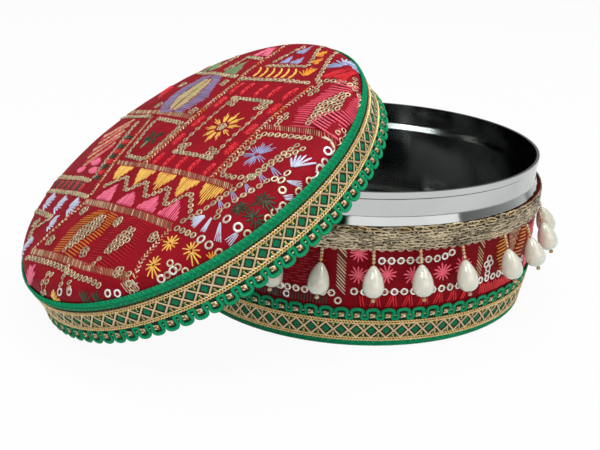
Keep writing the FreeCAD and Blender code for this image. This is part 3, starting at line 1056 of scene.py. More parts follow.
class Lace:
    """One length of the trimming: its face, and how many repeats go round it.

    face gives the radius and height at a distance from the corded edge.
    """

    def __init__(self, face, cord_middle, cord_half, middle_radius):
        self.face = face
        self.cord_middle = cord_middle
        self.cord_half = cord_half
        self.count = round(math.tau * middle_radius / LOOP_PITCH)

    def at(self, share, across, lift):
        """A point of the repeat at a share of its pitch, a distance from the edge and a lift off the face."""
        radius, height = self.face(across)
        return Vector((radius + lift, math.tau * radius / self.count * share, height))

    def line(self, a, b, lift, radius, floss, flat=0.9, bow=0.0):
        """A straight thread between two places given as (share, across), bowed out in its middle."""
        path = []
        for t in (0, 0.25, 0.75, 1):
            path.append(self.at(*Vector(a).lerp(Vector(b), t), lift + bow * (1 - abs(2 * t - 1))))
        return (*tube(path, radius, sides=5, flat=flat), floss)

    def cord(self):
        """The corded edge: a core bound by two rows of slanting rib."""
        middle, half = self.cord_middle, self.cord_half
        parts = []
        for across in (middle - 0.5 * half, middle + 0.5 * half):
            a, b = (-0.5, across), (0.5, across)
            parts.append(self.line(a, b, lift=0.8, radius=0.9, floss="deep_green", flat=0.8))
        for k in range(CORD_RIBS):
            share = (k + 0.5) / CORD_RIBS - 0.5
            for hand in (-1, 1):
                path = [self.at(share - 0.09, middle + hand * half, 0.9),
                        self.at(share, middle + hand * 0.6 * half, 1.5),
                        self.at(share + 0.09, middle + hand * 0.05, 1.45)]
                floss = "leaf_green" if (k + hand) % 3 == 0 else "emerald"
                parts.append((*tube(path, radius=0.46, sides=5, flat=0.9), floss))
        return parts

    def chain(self, row):
        """The stitches of one gold chain, along a row."""
        parts = []
        for k in range(CHAIN_STITCHES):
            share = (k + 0.5) / CHAIN_STITCHES - 0.5
            for hand in (-1, 1):
                a, b = (share - 0.09, row + hand * 0.9), (share + 0.08, row + hand * 0.3)
                floss = "lace_straw" if (k + hand) % 3 == 0 else "lace_gold"
                parts.append(self.line(a, b, lift=GOLD_LIFT + 0.1, radius=0.4, floss=floss, bow=0.35))
        return parts

    def lattice(self, edge, inward):
        """The doubled threads of half the lattice, out to one edge, and the fill of its corners."""
        parts = []
        for side in (-0.5, 0.5):
            lift = GOLD_LIFT + 0.1 + 0.1 * inward * side
            for strand, floss in ((-0.27, "lace_straw"), (0.27, "old_gold")):
                a, b = (side, LATTICE_MIDDLE + strand), (0, edge + strand)
                parts.append(self.line(a, b, lift, radius=0.27, floss=floss, bow=0.3))
        for count, far in ((5, 0.7), (3, 1.7)):
            level = edge + inward * far
            for k in range(count):
                share = 0.5 + (k - (count - 1) / 2) * 0.12
                floss = ("satin_green", "lace_gold", "deep_green")[(k + count) % 3]
                a, b = (share - 0.04, level), (share + 0.04, level)
                parts.append(self.line(a, b, lift=GOLD_LIFT - 0.1, radius=0.4, floss=floss, bow=0.2))
        return parts

    def knot(self):
        """The gold knot in a loop of gimp, and the thread that leads to the next."""
        parts = []
        for k in range(3):
            level = KNOT_MIDDLE + 0.75 * (k - 1)
            for hand in (-1, 1):
                floss = "lace_bronze" if (k + hand) % 3 == 0 else "lace_straw"
                a, b = (0.02 * hand, level), (0.15 * hand, level + 0.25 * hand)
                parts.append(self.line(a, b, lift=1.2, radius=0.38, floss=floss, bow=0.3))
        a, b = (0.46, KNOT_MIDDLE), (0.54, KNOT_MIDDLE)
        return parts + [self.line(a, b, lift=0.8, radius=0.3, floss="lace_straw", flat=0.8)]

    def gold(self):
        """All that is gold in one repeat: both chains, the lattice and the knot."""
        parts = [part for row in CHAIN_ROWS for part in self.chain(row)]
        return parts + self.lattice(LATTICE_LOW, 1) + self.lattice(LATTICE_HIGH, -1) + self.knot()

    def lozenges(self):
        """The green lozenges in the lattice's eyes: satin threads side by side, longest in the middle."""
        parts = []
        for k in range(LOZENGE_THREADS):
            aside = k - LOZENGE_THREADS // 2
            share = aside * 0.044
            reach = LOZENGE_REACH * (1 - abs(aside) / 5.2)
            floss = "emerald" if k % 3 == 0 else "satin_green"
            a, b = (share, LATTICE_MIDDLE - reach), (share, LATTICE_MIDDLE + reach)
            parts.append(self.line(a, b, lift=GOLD_LIFT - 0.1, radius=0.28, floss=floss, flat=0.8, bow=0.4))
        return parts

    def gimp(self):
        """One loop of gimp: three cords side by side, up, over and down again, on a thin dark backing."""
        parts = []
        middle, swing = (GIMP_LOW + GIMP_HIGH) / 2, (GIMP_HIGH - GIMP_LOW) / 2
        pitch = math.tau * self.face(middle)[0] / self.count
        for strand in GIMP_STRANDS:
            path = []
            for step in range(GIMP_STEPS + 1):
                turn = math.tau * (step / GIMP_STEPS - 0.5)
                flat = Vector((pitch * turn / math.tau + LOOP_BULGE * math.sin(turn)
                               + LOOP_SQUARE * math.sin(2 * turn),
                               middle + swing * math.cos(turn)))
                way = Vector((pitch / math.tau + LOOP_BULGE * math.cos(turn)
                              + 2 * LOOP_SQUARE * math.cos(2 * turn),
                              -swing * math.sin(turn))).normalized()
                flat += square_to(way) * strand
                path.append(self.at(flat.x / pitch, flat.y, 0.95 + (0.2 if strand == 0 else 0.0)))
            floss = "leaf_green" if strand == 0 else "emerald"
            parts.append((*tube(path, radius=0.38, sides=5, flat=0.9), floss))
        for share, end in GIMP_BACKING:
            a, b = (share, BACKING_LOW), (share, end)
            parts.append(self.line(a, b, lift=0.6, radius=0.72, floss="deep_green", flat=0.5))
        return parts

    def sew(self, prefix, body, place, ground_profile):
        """Makes the trimming's pieces, sets them on their body and hides the model's parts they replace."""
        name = f"{prefix}_lace_ground"
        ground = piece_from(name, spun(name, ground_profile, turns=300, closed=True, place=place), lace_weave)
        cord = repeated(f"{prefix}_lace_edge_cord", self.cord(), self.count, green_rayon, place)
        metal = repeated(f"{prefix}_lace_gold", self.gold(), self.count, lace_metal, place)
        fill = repeated(f"{prefix}_lace_lozenges", self.lozenges(), self.count, green_rayon, place)
        gimp = repeated(f"{prefix}_lace_gimp", self.gimp(), self.count, green_rayon, place)
        for piece, slot in ((ground, "gold_lattice_lace"), (cord, "green_cord"), (metal, "gold_lattice_lace"),
                            (fill, "green_cord"), (gimp, "green_cord")):
            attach(piece, body)
        for piece, part in ((ground, "tape"), (cord, "edge_cord"), (gimp, "gimp")):
            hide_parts(f"{prefix}_trim_{part}")


def lace_ground():
    """The lace's ground: green rayon and gold metal thread woven together in small checks."""
    material, tree, surface = new_finish("lace_ground", {"Metallic": 0.25})
    lay = laid_out(tree)
    checks = add_node(tree, "ShaderNodeTexChecker", {"Vector": lay, "Scale": 0.9,
                                                     "Color1": (*FLOSS["deep_green"], 1.0),
                                                     "Color2": (*dyed(84, 84, 34), 1.0)})
    fleck = noise(tree, lay, 1.4)
    colour = toned(tree, checks.outputs["Color"], shaded(tree, fleck, (0.35, 0.5), (0.65, 1.15)))
    coat(tree, surface, colour, shaded(tree, fleck, (0.3, 0.65), (0.7, 0.4)))
    bump(tree, surface, fleck, strength=0.6, distance=0.0003)
    return material


def base_face(across):
    """The radius and height of the base lace's back at a distance from the floor."""
    return wall_radius(across) + OVER_BAND, across


lace_tree = turning_tree()
green_rayon = dyed_thread("green_rayon", metal=0.0, rough=0.42, twist=1.3, shine=0.15)
lace_metal = dyed_thread("lace_metal_thread", metal=0.65, rough=0.33, twist=1.3)
lace_weave = lace_ground()
base_lace = Lace(base_face, FLOOR_ROOM + CORD_RADIUS, CORD_RADIUS, wall_radius(LACE_WIDTH))
base_ground = strip_profile(wall_radius, FLOOR_ROOM + 2 * CORD_RADIUS, GROUND_TOP, OVER_BAND,
                            GROUND_THICKNESS)
base_lace.sew("base", "box", Matrix(), base_ground)

# Pearl drops: moulded teardrop pearls with a pearly lacquer, hung round the box below the braid. Each is on a
# doubled gold thread with a stalk of seed beads above it and one at its tip, and swings on its stalk.
FRONT_DROPS_DEG = [-140.0, -127.5, -113.5, -100.5, -87.5, -71.0, -58.0, -43.0]
DROP_COUNT = 24
HINGE_RADIUS = 98.2
HINGE_HEIGHT = 51.6
DROP_LEAN_DEG = 22.0
PEARL_TOP = 6.3
PEARL_LENGTH = 15.0
PEARL_RADIUS = 5.1
PEARL_WIDEST = 10.2
PEARL_TOP_RADIUS = 0.9
PEARL_BORE = 0.55
SEED_RADIUS = 0.9
SEED_PITCH = 1.6
TIP_RADIUS = 1.1
THREAD_RADIUS = 0.24
STALK_BEADS = 4
BEAD_MIX = ["seed_gold", "seed_pink", "seed_clear", "seed_gold", "seed_clear"]
FLOSS.update({
    "seed_gold": dyed(206, 164, 104), "seed_pink": dyed(206, 156, 130), "seed_clear": dyed(214, 190, 148),
})


def bulge(radius, height, end_radius, end_height, steps=12):
    """Points on an arc from the pearl's widest place to an end, level with the axis where it starts."""
    drop, inset = end_height - height, radius - end_radius
    arc = (drop * drop + inset * inset) / (2 * inset)
    whole = math.asin(drop / arc)
    return [(radius - arc + arc * math.cos(whole * k / steps), height + arc * math.sin(whole * k / steps))
            for k in range(steps + 1)]


def pearl_profile():
    """The closed section of a drilled teardrop, from the bore's top round its outside to the bore's foot."""
    widest = -PEARL_TOP - PEARL_WIDEST
    upper = bulge(PEARL_RADIUS, widest, PEARL_TOP_RADIUS, -PEARL_TOP)
    lower = bulge(PEARL_RADIUS, widest, PEARL_TOP_RADIUS, -PEARL_TOP - PEARL_LENGTH)
    bore = [(PEARL_BORE, -PEARL_TOP - PEARL_LENGTH), (PEARL_BORE, -PEARL_TOP)]
    return upper[::-1] + lower[1:] + bore


def pearl_lacquer():
    """Warm white plastic under a pearly lacquer that is thicker in clouds."""
    material, tree, surface = new_finish("pearl_lacquer", {
        "Coat Weight": 1.0, "Coat Roughness": 0.07, "Coat IOR": 1.7, "Specular IOR Level": 0.7,
        "Thin Film Thickness": 420.0, "Thin Film IOR": 1.45,
    })
    clouds = noise(tree, in_place(tree), 220.0, detail=3.0, distortion=0.8)
    colour = ramp(tree, clouds, [(0.3, dyed(216, 215, 198)), (0.55, dyed(224, 222, 208)),
                                 (0.75, dyed(230, 226, 214))])
    coat(tree, surface, colour, shaded(tree, clouds, (0.3, 0.3), (0.7, 0.2)))
    return material


def seed_glass():
    """Lined glass seed beads: glossy, in the colour of their lining."""
    material, tree, surface = new_finish("seed_glass", {"Metallic": 0.35, "Coat Weight": 0.8})
    streaks = noise(tree, in_place(tree), 1500.0)
    colour = toned(tree, own_dye(tree), shaded(tree, streaks, (0.3, 0.7), (0.7, 1.1)))
    coat(tree, surface, colour, shaded(tree, streaks, (0.3, 0.28), (0.7, 0.18)))
    return material


def bead(height, radius, floss, sides=12, corners=8):
    """A seed bead on the thread: a fat ring turned about the drop's axis."""
    section = []
    for k in range(corners):
        turn = math.tau * k / corners
        section.append((radius * (0.6 + 0.4 * math.cos(turn)), height + 0.78 * radius * math.sin(turn)))
    points = []
    for k in range(sides):
        turn = math.tau * k / sides
        points += [Vector((r * math.cos(turn), r * math.sin(turn), z)) for r, z in section]
    laid = [[(0, 0), (1, 0), (1, 1), (0, 1)]] * (sides * corners)
    return points, ring_faces(sides, corners), laid, floss


def twisted_thread(top, bottom, hand):
    """One of the two plies of the thread, twisting about the drop's axis."""
    steps = round((top - bottom) / 0.45)
    path = []
    for k in range(steps + 1):
        height = top + (bottom - top) * k / steps
        turn = hand * math.pi + 2.2 * (top - height)
        path.append((0.17 * math.cos(turn), 0.17 * math.sin(turn), height))
    return (*tube(path, radius=THREAD_RADIUS, sides=4), "seed_gold")


def hanger_parts(number):
    """The thread, the stalk's beads and the tip bead of one drop; the mix of beads differs drop by drop."""
    tip = -PEARL_TOP - PEARL_LENGTH - TIP_RADIUS
    parts = [twisted_thread(SEED_RADIUS, tip - 0.6, hand) for hand in (0, 1)]
    for k in range(STALK_BEADS):
        parts.append(bead(-k * SEED_PITCH, SEED_RADIUS, BEAD_MIX[(number * 2 + k * 3) % len(BEAD_MIX)]))
    return parts + [bead(tip, TIP_RADIUS, BEAD_MIX[(number * 3 + 1) % len(BEAD_MIX)])]


lacquer = pearl_lacquer()
seed_finish = seed_glass()
spare_drops = DROP_COUNT - len(FRONT_DROPS_DEG)
drop_step = (FRONT_DROPS_DEG[0] + 360 - FRONT_DROPS_DEG[-1]) / (spare_drops + 1)
drop_angles = FRONT_DROPS_DEG + [FRONT_DROPS_DEG[-1] + drop_step * (k + 1) for k in range(spare_drops)]
for number, angle in enumerate(drop_angles, start=1):
    hung = (Matrix.Rotation(math.radians(angle), 4, "Z") @ Matrix.Translation((HINGE_RADIUS, 0, HINGE_HEIGHT))
            @ Matrix.Rotation(math.radians(-DROP_LEAN_DEG), 4, "Y"))
    pearl_name, stalk_name = f"drop_pearl_{number:02d}", f"drop_stalk_{number:02d}"
    pearl_mesh = spun(pearl_name, pearl_profile(), turns=40, closed=True, place=hung)
    pearl = piece_from(pearl_name, pearl_mesh, lacquer, sharp_deg=60.0)
    points, faces, laid, dyes = gathered(hanger_parts(number))
    stalk_mesh = mesh_of(stalk_name, points, faces, laid, hung)
    dye_points(stalk_mesh, dyes)
    stalk = piece_from(stalk_name, stalk_mesh, seed_finish, sharp_deg=60.0)
    for piece, node, slot in ((pearl, "pearl", "pearl"), (stalk, "pearl_hanger", "gold_thread")):
        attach(piece, f"drop_{number:02d}")
        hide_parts(f"{node}_{number:02d}")

# Lid: the same bright stainless sheet, pressed to a shallow dome with a plain skirt that slides over the
# neck. It is off, and leans with its plate on the rim and its lace on the floor.
LID_BORE = 95.5
LID_SKIRT_BOTTOM = -14.0
LID_PLATE_CROWN = 3.9
LID_PLATE_EDGE = -1.5
LID_CORNER = 1.2
DOME_SHARE = 0.97
LEAN = math.radians(32.9)
LEAN_GAP = 0.3
LID_LACE_RADIUS = 100.95


def dome(radius, crown, edge, corner, bottom):
    """Corners and roundings of a path from a shallow dome's top out to its edge, round a corner and down."""
    half = radius / 2
    slope = math.atan2(crown - edge, half)
    corner_reach = corner * math.tan((math.pi / 2 - slope) / 2)
    dome_reach = DOME_SHARE * min(half, math.hypot(half, crown - edge) - corner_reach)
    corners = [(0, crown), (half, crown), (radius, edge), (radius, bottom)]
    return corners, [dome_reach / math.tan(slope / 2), corner]


def leaning():
    """The turn and move that take the lid from its own frame to where it leans."""
    height = LID_LACE_RADIUS * math.sin(LEAN) + LACE_WIDTH * math.cos(LEAN)
    below_plate = LID_PLATE_CROWN - LEAN_GAP
    across = ((BOX_HEIGHT - height) * math.cos(LEAN) - below_plate) / math.sin(LEAN)
    return Matrix.Translation((-RIM_RADIUS - across, 0, height)) @ Matrix.Rotation(-LEAN, 4, "Y")


lid_place = leaning()
plate = dome(LID_BORE, LID_PLATE_CROWN, LID_PLATE_EDGE, LID_CORNER, LID_SKIRT_BOTTOM)
lid_profile = filled_in(rounded_path(*plate)) + filled_in(rounded_path(*plate, SHEET))[::-1]
steel_lid = piece_from("steel_lid", spun("steel_lid", lid_profile, turns=288, place=lid_place), steel)
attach(steel_lid, "lid")
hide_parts("lid_shell")

# Lid pad: a round of soft foam glued on the plate, hollowed below to fit it and crowned above, with a
# straight cut side. The cloth over it presses its edge round.
COVER_CROWN = 15.9
COVER_EDGE = 6.3
COVER_CORNER = 7.0
COVER_BOTTOM = -13.6
PAD_RADIUS = 94.0
PAD_RINGS = 24
COVER_INSIDE = LID_BORE + SHEET + GLUE_GAP


def height_on(path, radius):
    """The height of a profile path at a radius."""
    for a, b in zip(path, path[1:]):
        if a.x <= radius <= b.x and b.x > a.x:
            return a.y + (b.y - a.y) * (radius - a.x) / (b.x - a.x)
    return path[-1].y


def open_cell_foam():
    """Cream open-cell foam: pitted all over, with painted shade darkening the pits."""
    material, tree, surface = new_finish("cream_foam", {"Roughness": 0.9, "Specular IOR Level": 0.2})
    cells = add_node(tree, "ShaderNodeTexVoronoi", {"Vector": in_place(tree), "Scale": 900.0})
    # Painted shade: the colour darkens at the middle of each cell, where the bump sinks into a pit.
    colour = ramp(tree, cells.outputs["Distance"], [(0.1, dyed(196, 178, 132)), (0.6, dyed(236, 224, 188))])
    tree.links.new(colour, surface.inputs["Base Color"])
    bump(tree, surface, cells.outputs["Distance"], strength=0.6, distance=0.0004)
    return material


lining = dome(COVER_INSIDE, COVER_CROWN - FABRIC, COVER_EDGE - FABRIC, COVER_CORNER - FABRIC, COVER_BOTTOM)
under_cover = rounded_path(*lining, -GLUE_GAP)
over_plate = rounded_path(*plate, SHEET + GLUE_GAP)
pad_radii = [PAD_RADIUS * math.sin(math.pi / 2 * k / PAD_RINGS) for k in range(PAD_RINGS + 1)]
pad_top = [(radius, height_on(under_cover, radius)) for radius in pad_radii]
pad_foot = [(radius, height_on(over_plate, radius)) for radius in pad_radii]
foam_pad = piece_from("foam_pad", spun("foam_pad", pad_top + pad_foot[::-1], turns=144, place=lid_place),
                      open_cell_foam())
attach(foam_pad, "lid")
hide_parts("lid_pad")

# Lid cover: a round of crimson dupion patchwork stretched over the foam, drawn in round the edge and glued to
# the skirt under the lace. The needlework pulls shallow dimples in it.
PATTERN_TURN = math.radians(-73.45)
COVER_RADIUS = COVER_INSIDE + FABRIC
DIMPLE = 0.3
DIMPLE_FADE = 12.0
EDGE_DRAW = 2.6
DRAW_FROM = 60.0
DRAW_WHOLE = 90.0
EDGE_WRAP = 4.0
WRAP_FROM = 88.0
WRAP_WHOLE = 95.0
EDGE_REACH = 100.0


def dimples(across, along):
    """How far the stretched cloth swells or sinks between its lines of stitching."""
    swell = math.sin(0.19 * across + 1.1 * math.sin(0.07 * along)) * math.sin(0.17 * along + 0.6)
    ripple = math.sin(0.43 * across - 0.31 * along) * math.sin(0.37 * along + 0.21 * across)
    return DIMPLE * (0.75 * swell + 0.25 * ripple)


cover_path = filled_in(rounded_path(*lining, FABRIC))
lining_path = filled_in(rounded_path(*lining))


def face_swell(flat):
    """How far the cover's face lies above its even shape at a flat point, fading out towards the edge."""
    return dimples(*flat) * max(0.0, min(1.0, (COVER_RADIUS - flat.length) / DIMPLE_FADE))


def along_cover(reach):
    """The radius and height of the cover's outside at a distance over the cloth from its middle."""
    for a, b in zip(cover_path, cover_path[1:]):
        length = (b - a).length
        if reach <= length:
            return a.lerp(b, reach / length)
        reach -= length
    return cover_path[-1]


def cover_face(across, along):
    """A point of the cover's face in the lid's frame, for a flat point of its pattern.

    Towards its edge the pattern is drawn outwards and wraps round the corner.
    """
    flat = Vector((across, along))
    reach = max(0.01, flat.length)
    drawn = EDGE_DRAW * max(0.0, min(1.0, (reach - DRAW_FROM) / (DRAW_WHOLE - DRAW_FROM)))
    wrapped = EDGE_WRAP * max(0.0, (reach - WRAP_FROM) / (WRAP_WHOLE - WRAP_FROM))
    radius, height = along_cover(min(reach + drawn + wrapped, EDGE_REACH))
    flat *= radius / reach
    spin = Matrix.Rotation(PATTERN_TURN, 2) @ flat
    return Vector((spin.x, spin.y, height + face_swell(flat)))


def on_lid(across, along):
    """Where a flat point of the lid's pattern lies, and which way it faces."""
    step = 0.6
    ahead = cover_face(across + step, along) - cover_face(across - step, along)
    aside = cover_face(across, along + step) - cover_face(across, along - step)
    return cover_face(across, along), ahead.cross(aside).normalized()


def laid_flat(point):
    """The place on the cloth of a point of the cover."""
    return tuple(Matrix.Rotation(-PATTERN_TURN, 2) @ Vector((point.x, point.y)))


def dimpled(point):
    """A point of the cover moved with its dimples, if it is on the outer face of the dome."""
    radius = math.hypot(point.x, point.y)
    height = height_on(cover_path, radius)
    if radius > COVER_RADIUS - 0.1 or point.z < height - FABRIC / 2:
        return point
    return Vector((point.x, point.y, height + face_swell(Vector(laid_flat(point)))))


crimson = slub_cloth("crimson_dupion", dyed(132, 11, 26), dyed(156, 16, 34))
cover_mesh = spun("cover_cloth", cover_path + lining_path[::-1], turns=216, place=lid_place, drape=dimpled,
                  flat=laid_flat)
cover_cloth = piece_from("cover_cloth", cover_mesh, crimson)
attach(cover_cloth, "lid")
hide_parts("lid_cover")

# Needlework on the lid: patches of old bridal cloth joined under hatched gold bands. Each patch has its own
# motif in silk floss, such as a daisy in a sequin frame, flame leaves, comb eyes or fans, with ring sequins
# along the lines.
SEWING_MARGIN = 1.6


def gold_bands(cloth):
    """The hatched and roped bands that cover the seams between the patches."""
    for path, width in (
        ([(-30, -18.5), (68, -18.5)], 3.2), ([(-25, -46.3), (54, -46.8)], 4.0),
        ([(-38, -78), (20, -78), (51, -74.5)], 3.6), ([(53, 20), (74, 23), (90, 24)], 3.6),
        ([(-89, 27), (-5, 19)], 3.6),
    ):
        hatched_band(cloth, path, width=width)
    for path, width in (
        ([(-3.5, -17), (-3.5, 55)], 4.2), ([(51.8, -17), (51.8, 54)], 3.0),
        ([(-46, 19), (-25, -42)], 2.8), ([(54, -48), (51, -66), (55, -77)], 3.0),
        ([(-24, -45), (-36, -77)], 2.8), ([(-6, 56), (-8, 90)], 3.0),
    ):
        rope(cloth, path, width)


def daisy_patch(cloth):
    """The middle patch: a daisy in a frame of sequins, with red feathers all round."""
    left, right, low, high = 10, 40.5, -6.5, 37
    for along in (high, low):
        sequin_row(cloth, [(left, along), (right, along)], pitch=2.9, radius=1.5)
    for across in (left, right):
        sequin_row(cloth, [(across, low + 2), (across, high - 2)], pitch=4.2, radius=1.35)
    for corner, aim_deg in (((14, -2.5), 45), ((36.5, -2.5), 135), ((36.5, 33), 225), ((14, 33), 315)):
        trefoil(cloth, corner, aim_deg=aim_deg, radius=1.45)
    daisy = (26, 14.5)
    petals(cloth, daisy, radius=11.5, aims_deg=[36 * k + 12 for k in range(10)], floss="marigold", heart=4.0)
    clover(cloth, daisy, aim_deg=30, rings=5, radius=1.35)
    cloth.sequin(daisy, 1.35)
    for across in (3, 12, 23, 33.5, 45):
        feather(cloth, (across, 41), (across + 0.5, 50.5), reach=2.9, floss="scarlet")
        feather(cloth, (across + 0.5, -16.5), (across + 1, -8.5), reach=2.7, floss="scarlet")
    for along in (33, 16.5, 2):
        for across in (3.5, 46.5):
            for shift in (-1.8, 1.8):
                star(cloth, (across, along + shift), radius=3.0, rays=9, floss="scarlet", width=0.75)
    sequin_row(cloth, [(-6, 54), (48, 55.5)], pitch=3.3)


def flame_patch(cloth):
    """Yellow flames pointing down and pink ones pointing up, either side of a zigzag of sequins."""
    for across in (-16, 4.5, 22.5, 41, 58.5):
        flame_leaf(cloth, (across, -20.4), (0, -1), width=13.5, reach=11.5, floss="marigold")
    for across in (-10, 10, 28.5, 46):
        flame_leaf(cloth, (across, -44), (0, 1), width=14, reach=11, floss="rose")
    zigzag = [(-20, -36), (-7.5, -27), (2, -36), (13, -28), (21, -37), (31.5, -28), (39, -38.5), (49, -28),
              (58, -38)]
    sequin_row(cloth, zigzag, pitch=3.4, radius=1.45)


def eye_patch(cloth):
    """Two comb eyes below the flames, amber and red, each round a leaf of ring sequins."""
    amber_leaf = [(-51.5, 0, 4), (-57, -4, 6.5), (-63, -8.5, 4.5), (-70, -8, -1), (-75, -9, -6)]
    amber_eye = [(-48.5, -6, 13.5), (-56, -14, 14.5), (-63, -18, 12), (-76, -16, 4)]
    comb_eye(cloth, amber_eye, amber_leaf, "rust")
    ring_leaf(cloth, amber_leaf)
    red_leaf = [(-53.5, 29, 33), (-60, 25, 35.5), (-66, 23.5, 32), (-70.5, 23.5, 27)]
    red_eye = [(-48.5, 22, 39), (-58, 17, 42), (-67, 16, 42), (-76.5, 16, 33)]
    comb_eye(cloth, red_eye, red_leaf, "blood", width=0.65)
    ring_leaf(cloth, red_leaf)
    sequin_row(cloth, [(25, -71), (23, -77)], pitch=3.0, radius=1.3)
    for middle, aim_deg in (((17.5, -53.5), 0), ((48, -54.5), 20), ((10.5, -72), 40), ((43, -74.5), 0),
                            ((-18, -52), 0), ((-26, -71), 30)):
        clover(cloth, middle, aim_deg=aim_deg, rings=5)


def lower_edge(cloth):
    """What the lid's lower edge cuts through: stars, hanging lines of sequins and small flowers."""
    sequin_row(cloth, [(56, -46.8), (70, -46.5)], pitch=3.6)
    for middle, radius, floss in (
        ((73.7, -46.9), 2.3, "cream"), ((77.8, -46.9), 2.1, "pale_gold"), ((81.6, -46.8), 2.0, "antique"),
        ((66.5, -61), 1.7, "antique"), ((69.6, -60.4), 1.8, "antique"), ((72.7, -60.2), 1.7, "antique"),
        ((66.4, -65), 1.7, "antique"), ((75.6, -58.8), 1.9, "pale_gold"), ((68.2, -62.4), 2.0, "cream"),
        ((64.4, -67.4), 2.1, "cream"),
    ):
        cloth.sequin(middle, radius, floss)
    for middle in ((60, -54), (72.5, -52.6), (59.5, -65.5)):
        star(cloth, middle, radius=4.5, rays=11, floss="marigold", width=0.7)
    for middle in ((42, -82.4), (46.6, -80.6), (12, -90.5), (19, -89)):
        cloth.sequin(middle, 2.0, "cream")
    hatched_band(cloth, [(49, -78), (55, -74)], width=3.0, flosses=("pale_gold", "old_gold", "cream"))
    fan(cloth, (81, -51), aim_deg=120, spread_deg=90, radius=4, rays=5, floss="amber", width=0.7)
    sequin_row(cloth, [(-37, -81.5), (2, -82), (20, -83.5), (38, -82)], pitch=3.5)
    for path in ([(-5, -85), (-5, -95)], [(-2, -85), (-1, -94)], [(7, -84), (12, -90)],
                 [(15, -86), (19, -89)], [(5, -79), (9, -86)]):
        sequin_row(cloth, path, pitch=3.3, radius=1.5)
    petals(cloth, (-22, -92), radius=8.5, aims_deg=(35, 75, 110, 150), floss="rose", strands=4, spread_mm=1.4)
    fan(cloth, (7, -95), aim_deg=75, spread_deg=120, radius=4.5, rays=7, floss="marigold")
    for middle in ((29, -90), (36, -88)):
        fan(cloth, middle, aim_deg=80, spread_deg=120, radius=4.5, rays=6, floss="bottle", width=0.7)
    sequin_row(cloth, [(49, -72), (54, -79)], pitch=3.4)


def right_patches(cloth):
    """Right of the daisy: a pink comb eye, a lilac star in a frame and a ladder of lilac tassels."""
    pink_leaf = [(53, 71, 74.5), (47, 69, 77), (41, 67, 80), (35, 69.5, 76), (26.5, 71.5, 74)]
    pink_eye = [(60, 64, 82), (48, 61, 92), (38, 59.5, 94), (25, 66, 93)]
    comb_eye(cloth, pink_eye, pink_leaf, "peony", pitch=1.5, width=0.9)
    ring_leaf(cloth, pink_leaf)
    for middle, aim_deg in (((56, 50), 280), ((57.5, 28), 100), ((89, 29), 120)):
        trefoil(cloth, middle, aim_deg=aim_deg, radius=1.45)
    sequin_row(cloth, [(50, 57), (58, 59.5), (67, 59.5), (77, 55), (84, 46)], pitch=3.4)
    petals(cloth, (64.5, 2.5), radius=8.8, aims_deg=(48, 75, 112, 150, 200, 262, 285, 335), floss="iris",
           strands=3, spread_mm=1.3, width=0.5)
    for path, pitch in (
        ([(55.5, 15), (70, 17.5), (83, 19.5)], 3.5), ([(55.7, 15), (55.7, -14)], 3.9),
        ([(56, -14), (66, -13.5), (73, -9)], 3.5),
        ([(79.5, 15), (74.5, -1), (70, -18), (63, -34), (56.5, -44)], 3.6),
        ([(84, 14), (79, 5), (75.5, -3), (73, -12)], 3.6), ([(82, -8), (79, -15), (74, -26), (71, -34)], 3.6),
    ):
        sequin_row(cloth, path, pitch=pitch)
    for knot, end in (((77, -2), (84.5, -5.5)), ((74.5, -7.5), (80, -10)), ((72.5, -14.5), (78, -18)),
                      ((69, -20.5), (74.5, -24)), ((67, -27), (72.5, -30.5))):
        tassel(cloth, knot, end, "iris")
    fan(cloth, (87, 0.5), aim_deg=95, spread_deg=75, radius=9, rays=6, floss="lilac", width=1.1)
    for middle, radius in (((87, -2.5), 1.9), ((87.5, -7), 2.1), ((84, -7.5), 1.8), ((90, -11), 2.0),
                           ((93, -16), 2.0)):
        cloth.sequin(middle, radius, "pale_gold")
    for middle in ((91, 17), (93.5, 12), (94.2, 8), (94.5, 4), (78.5, -34), (84.3, -34.5)):
        cloth.sequin(middle, 2.3, "cream")
    curl(cloth, (86, 22), (93, 18), bow=1.6, floss="pale_gold", width=0.7)
    for middle in ((73, -34.7), (87.6, -34), (91.6, -20.3), (91.2, -24), (94.3, 0.3), (94.3, -6.6)):
        cloth.sequin(middle, 1.9, "antique")
    for middle in ((87, -19), (80, -27), (87.4, -27.6)):
        star(cloth, middle, radius=4.4, rays=12, floss="bottle", width=0.9)
    cloth.stitch((83, -25), (86, -22), "bottle", 0.8)
    fan(cloth, (67, -35.5), aim_deg=235, spread_deg=50, radius=8, rays=8, floss="lilac", width=0.8)
    for knot, end in (((70.5, -36), (71.5, -43.5)), ((77.5, -37), (80.5, -44)), ((84.8, -36.4), (83.2, -42)),
                      ((89.4, -6.6), (93.4, -3.6)), ((91.3, -13), (94, -10.2)),
                      ((91.9, -18.8), (93.4, -17.2))):
        tassel(cloth, knot, end, "lilac", strands=4, spread_mm=1.2)


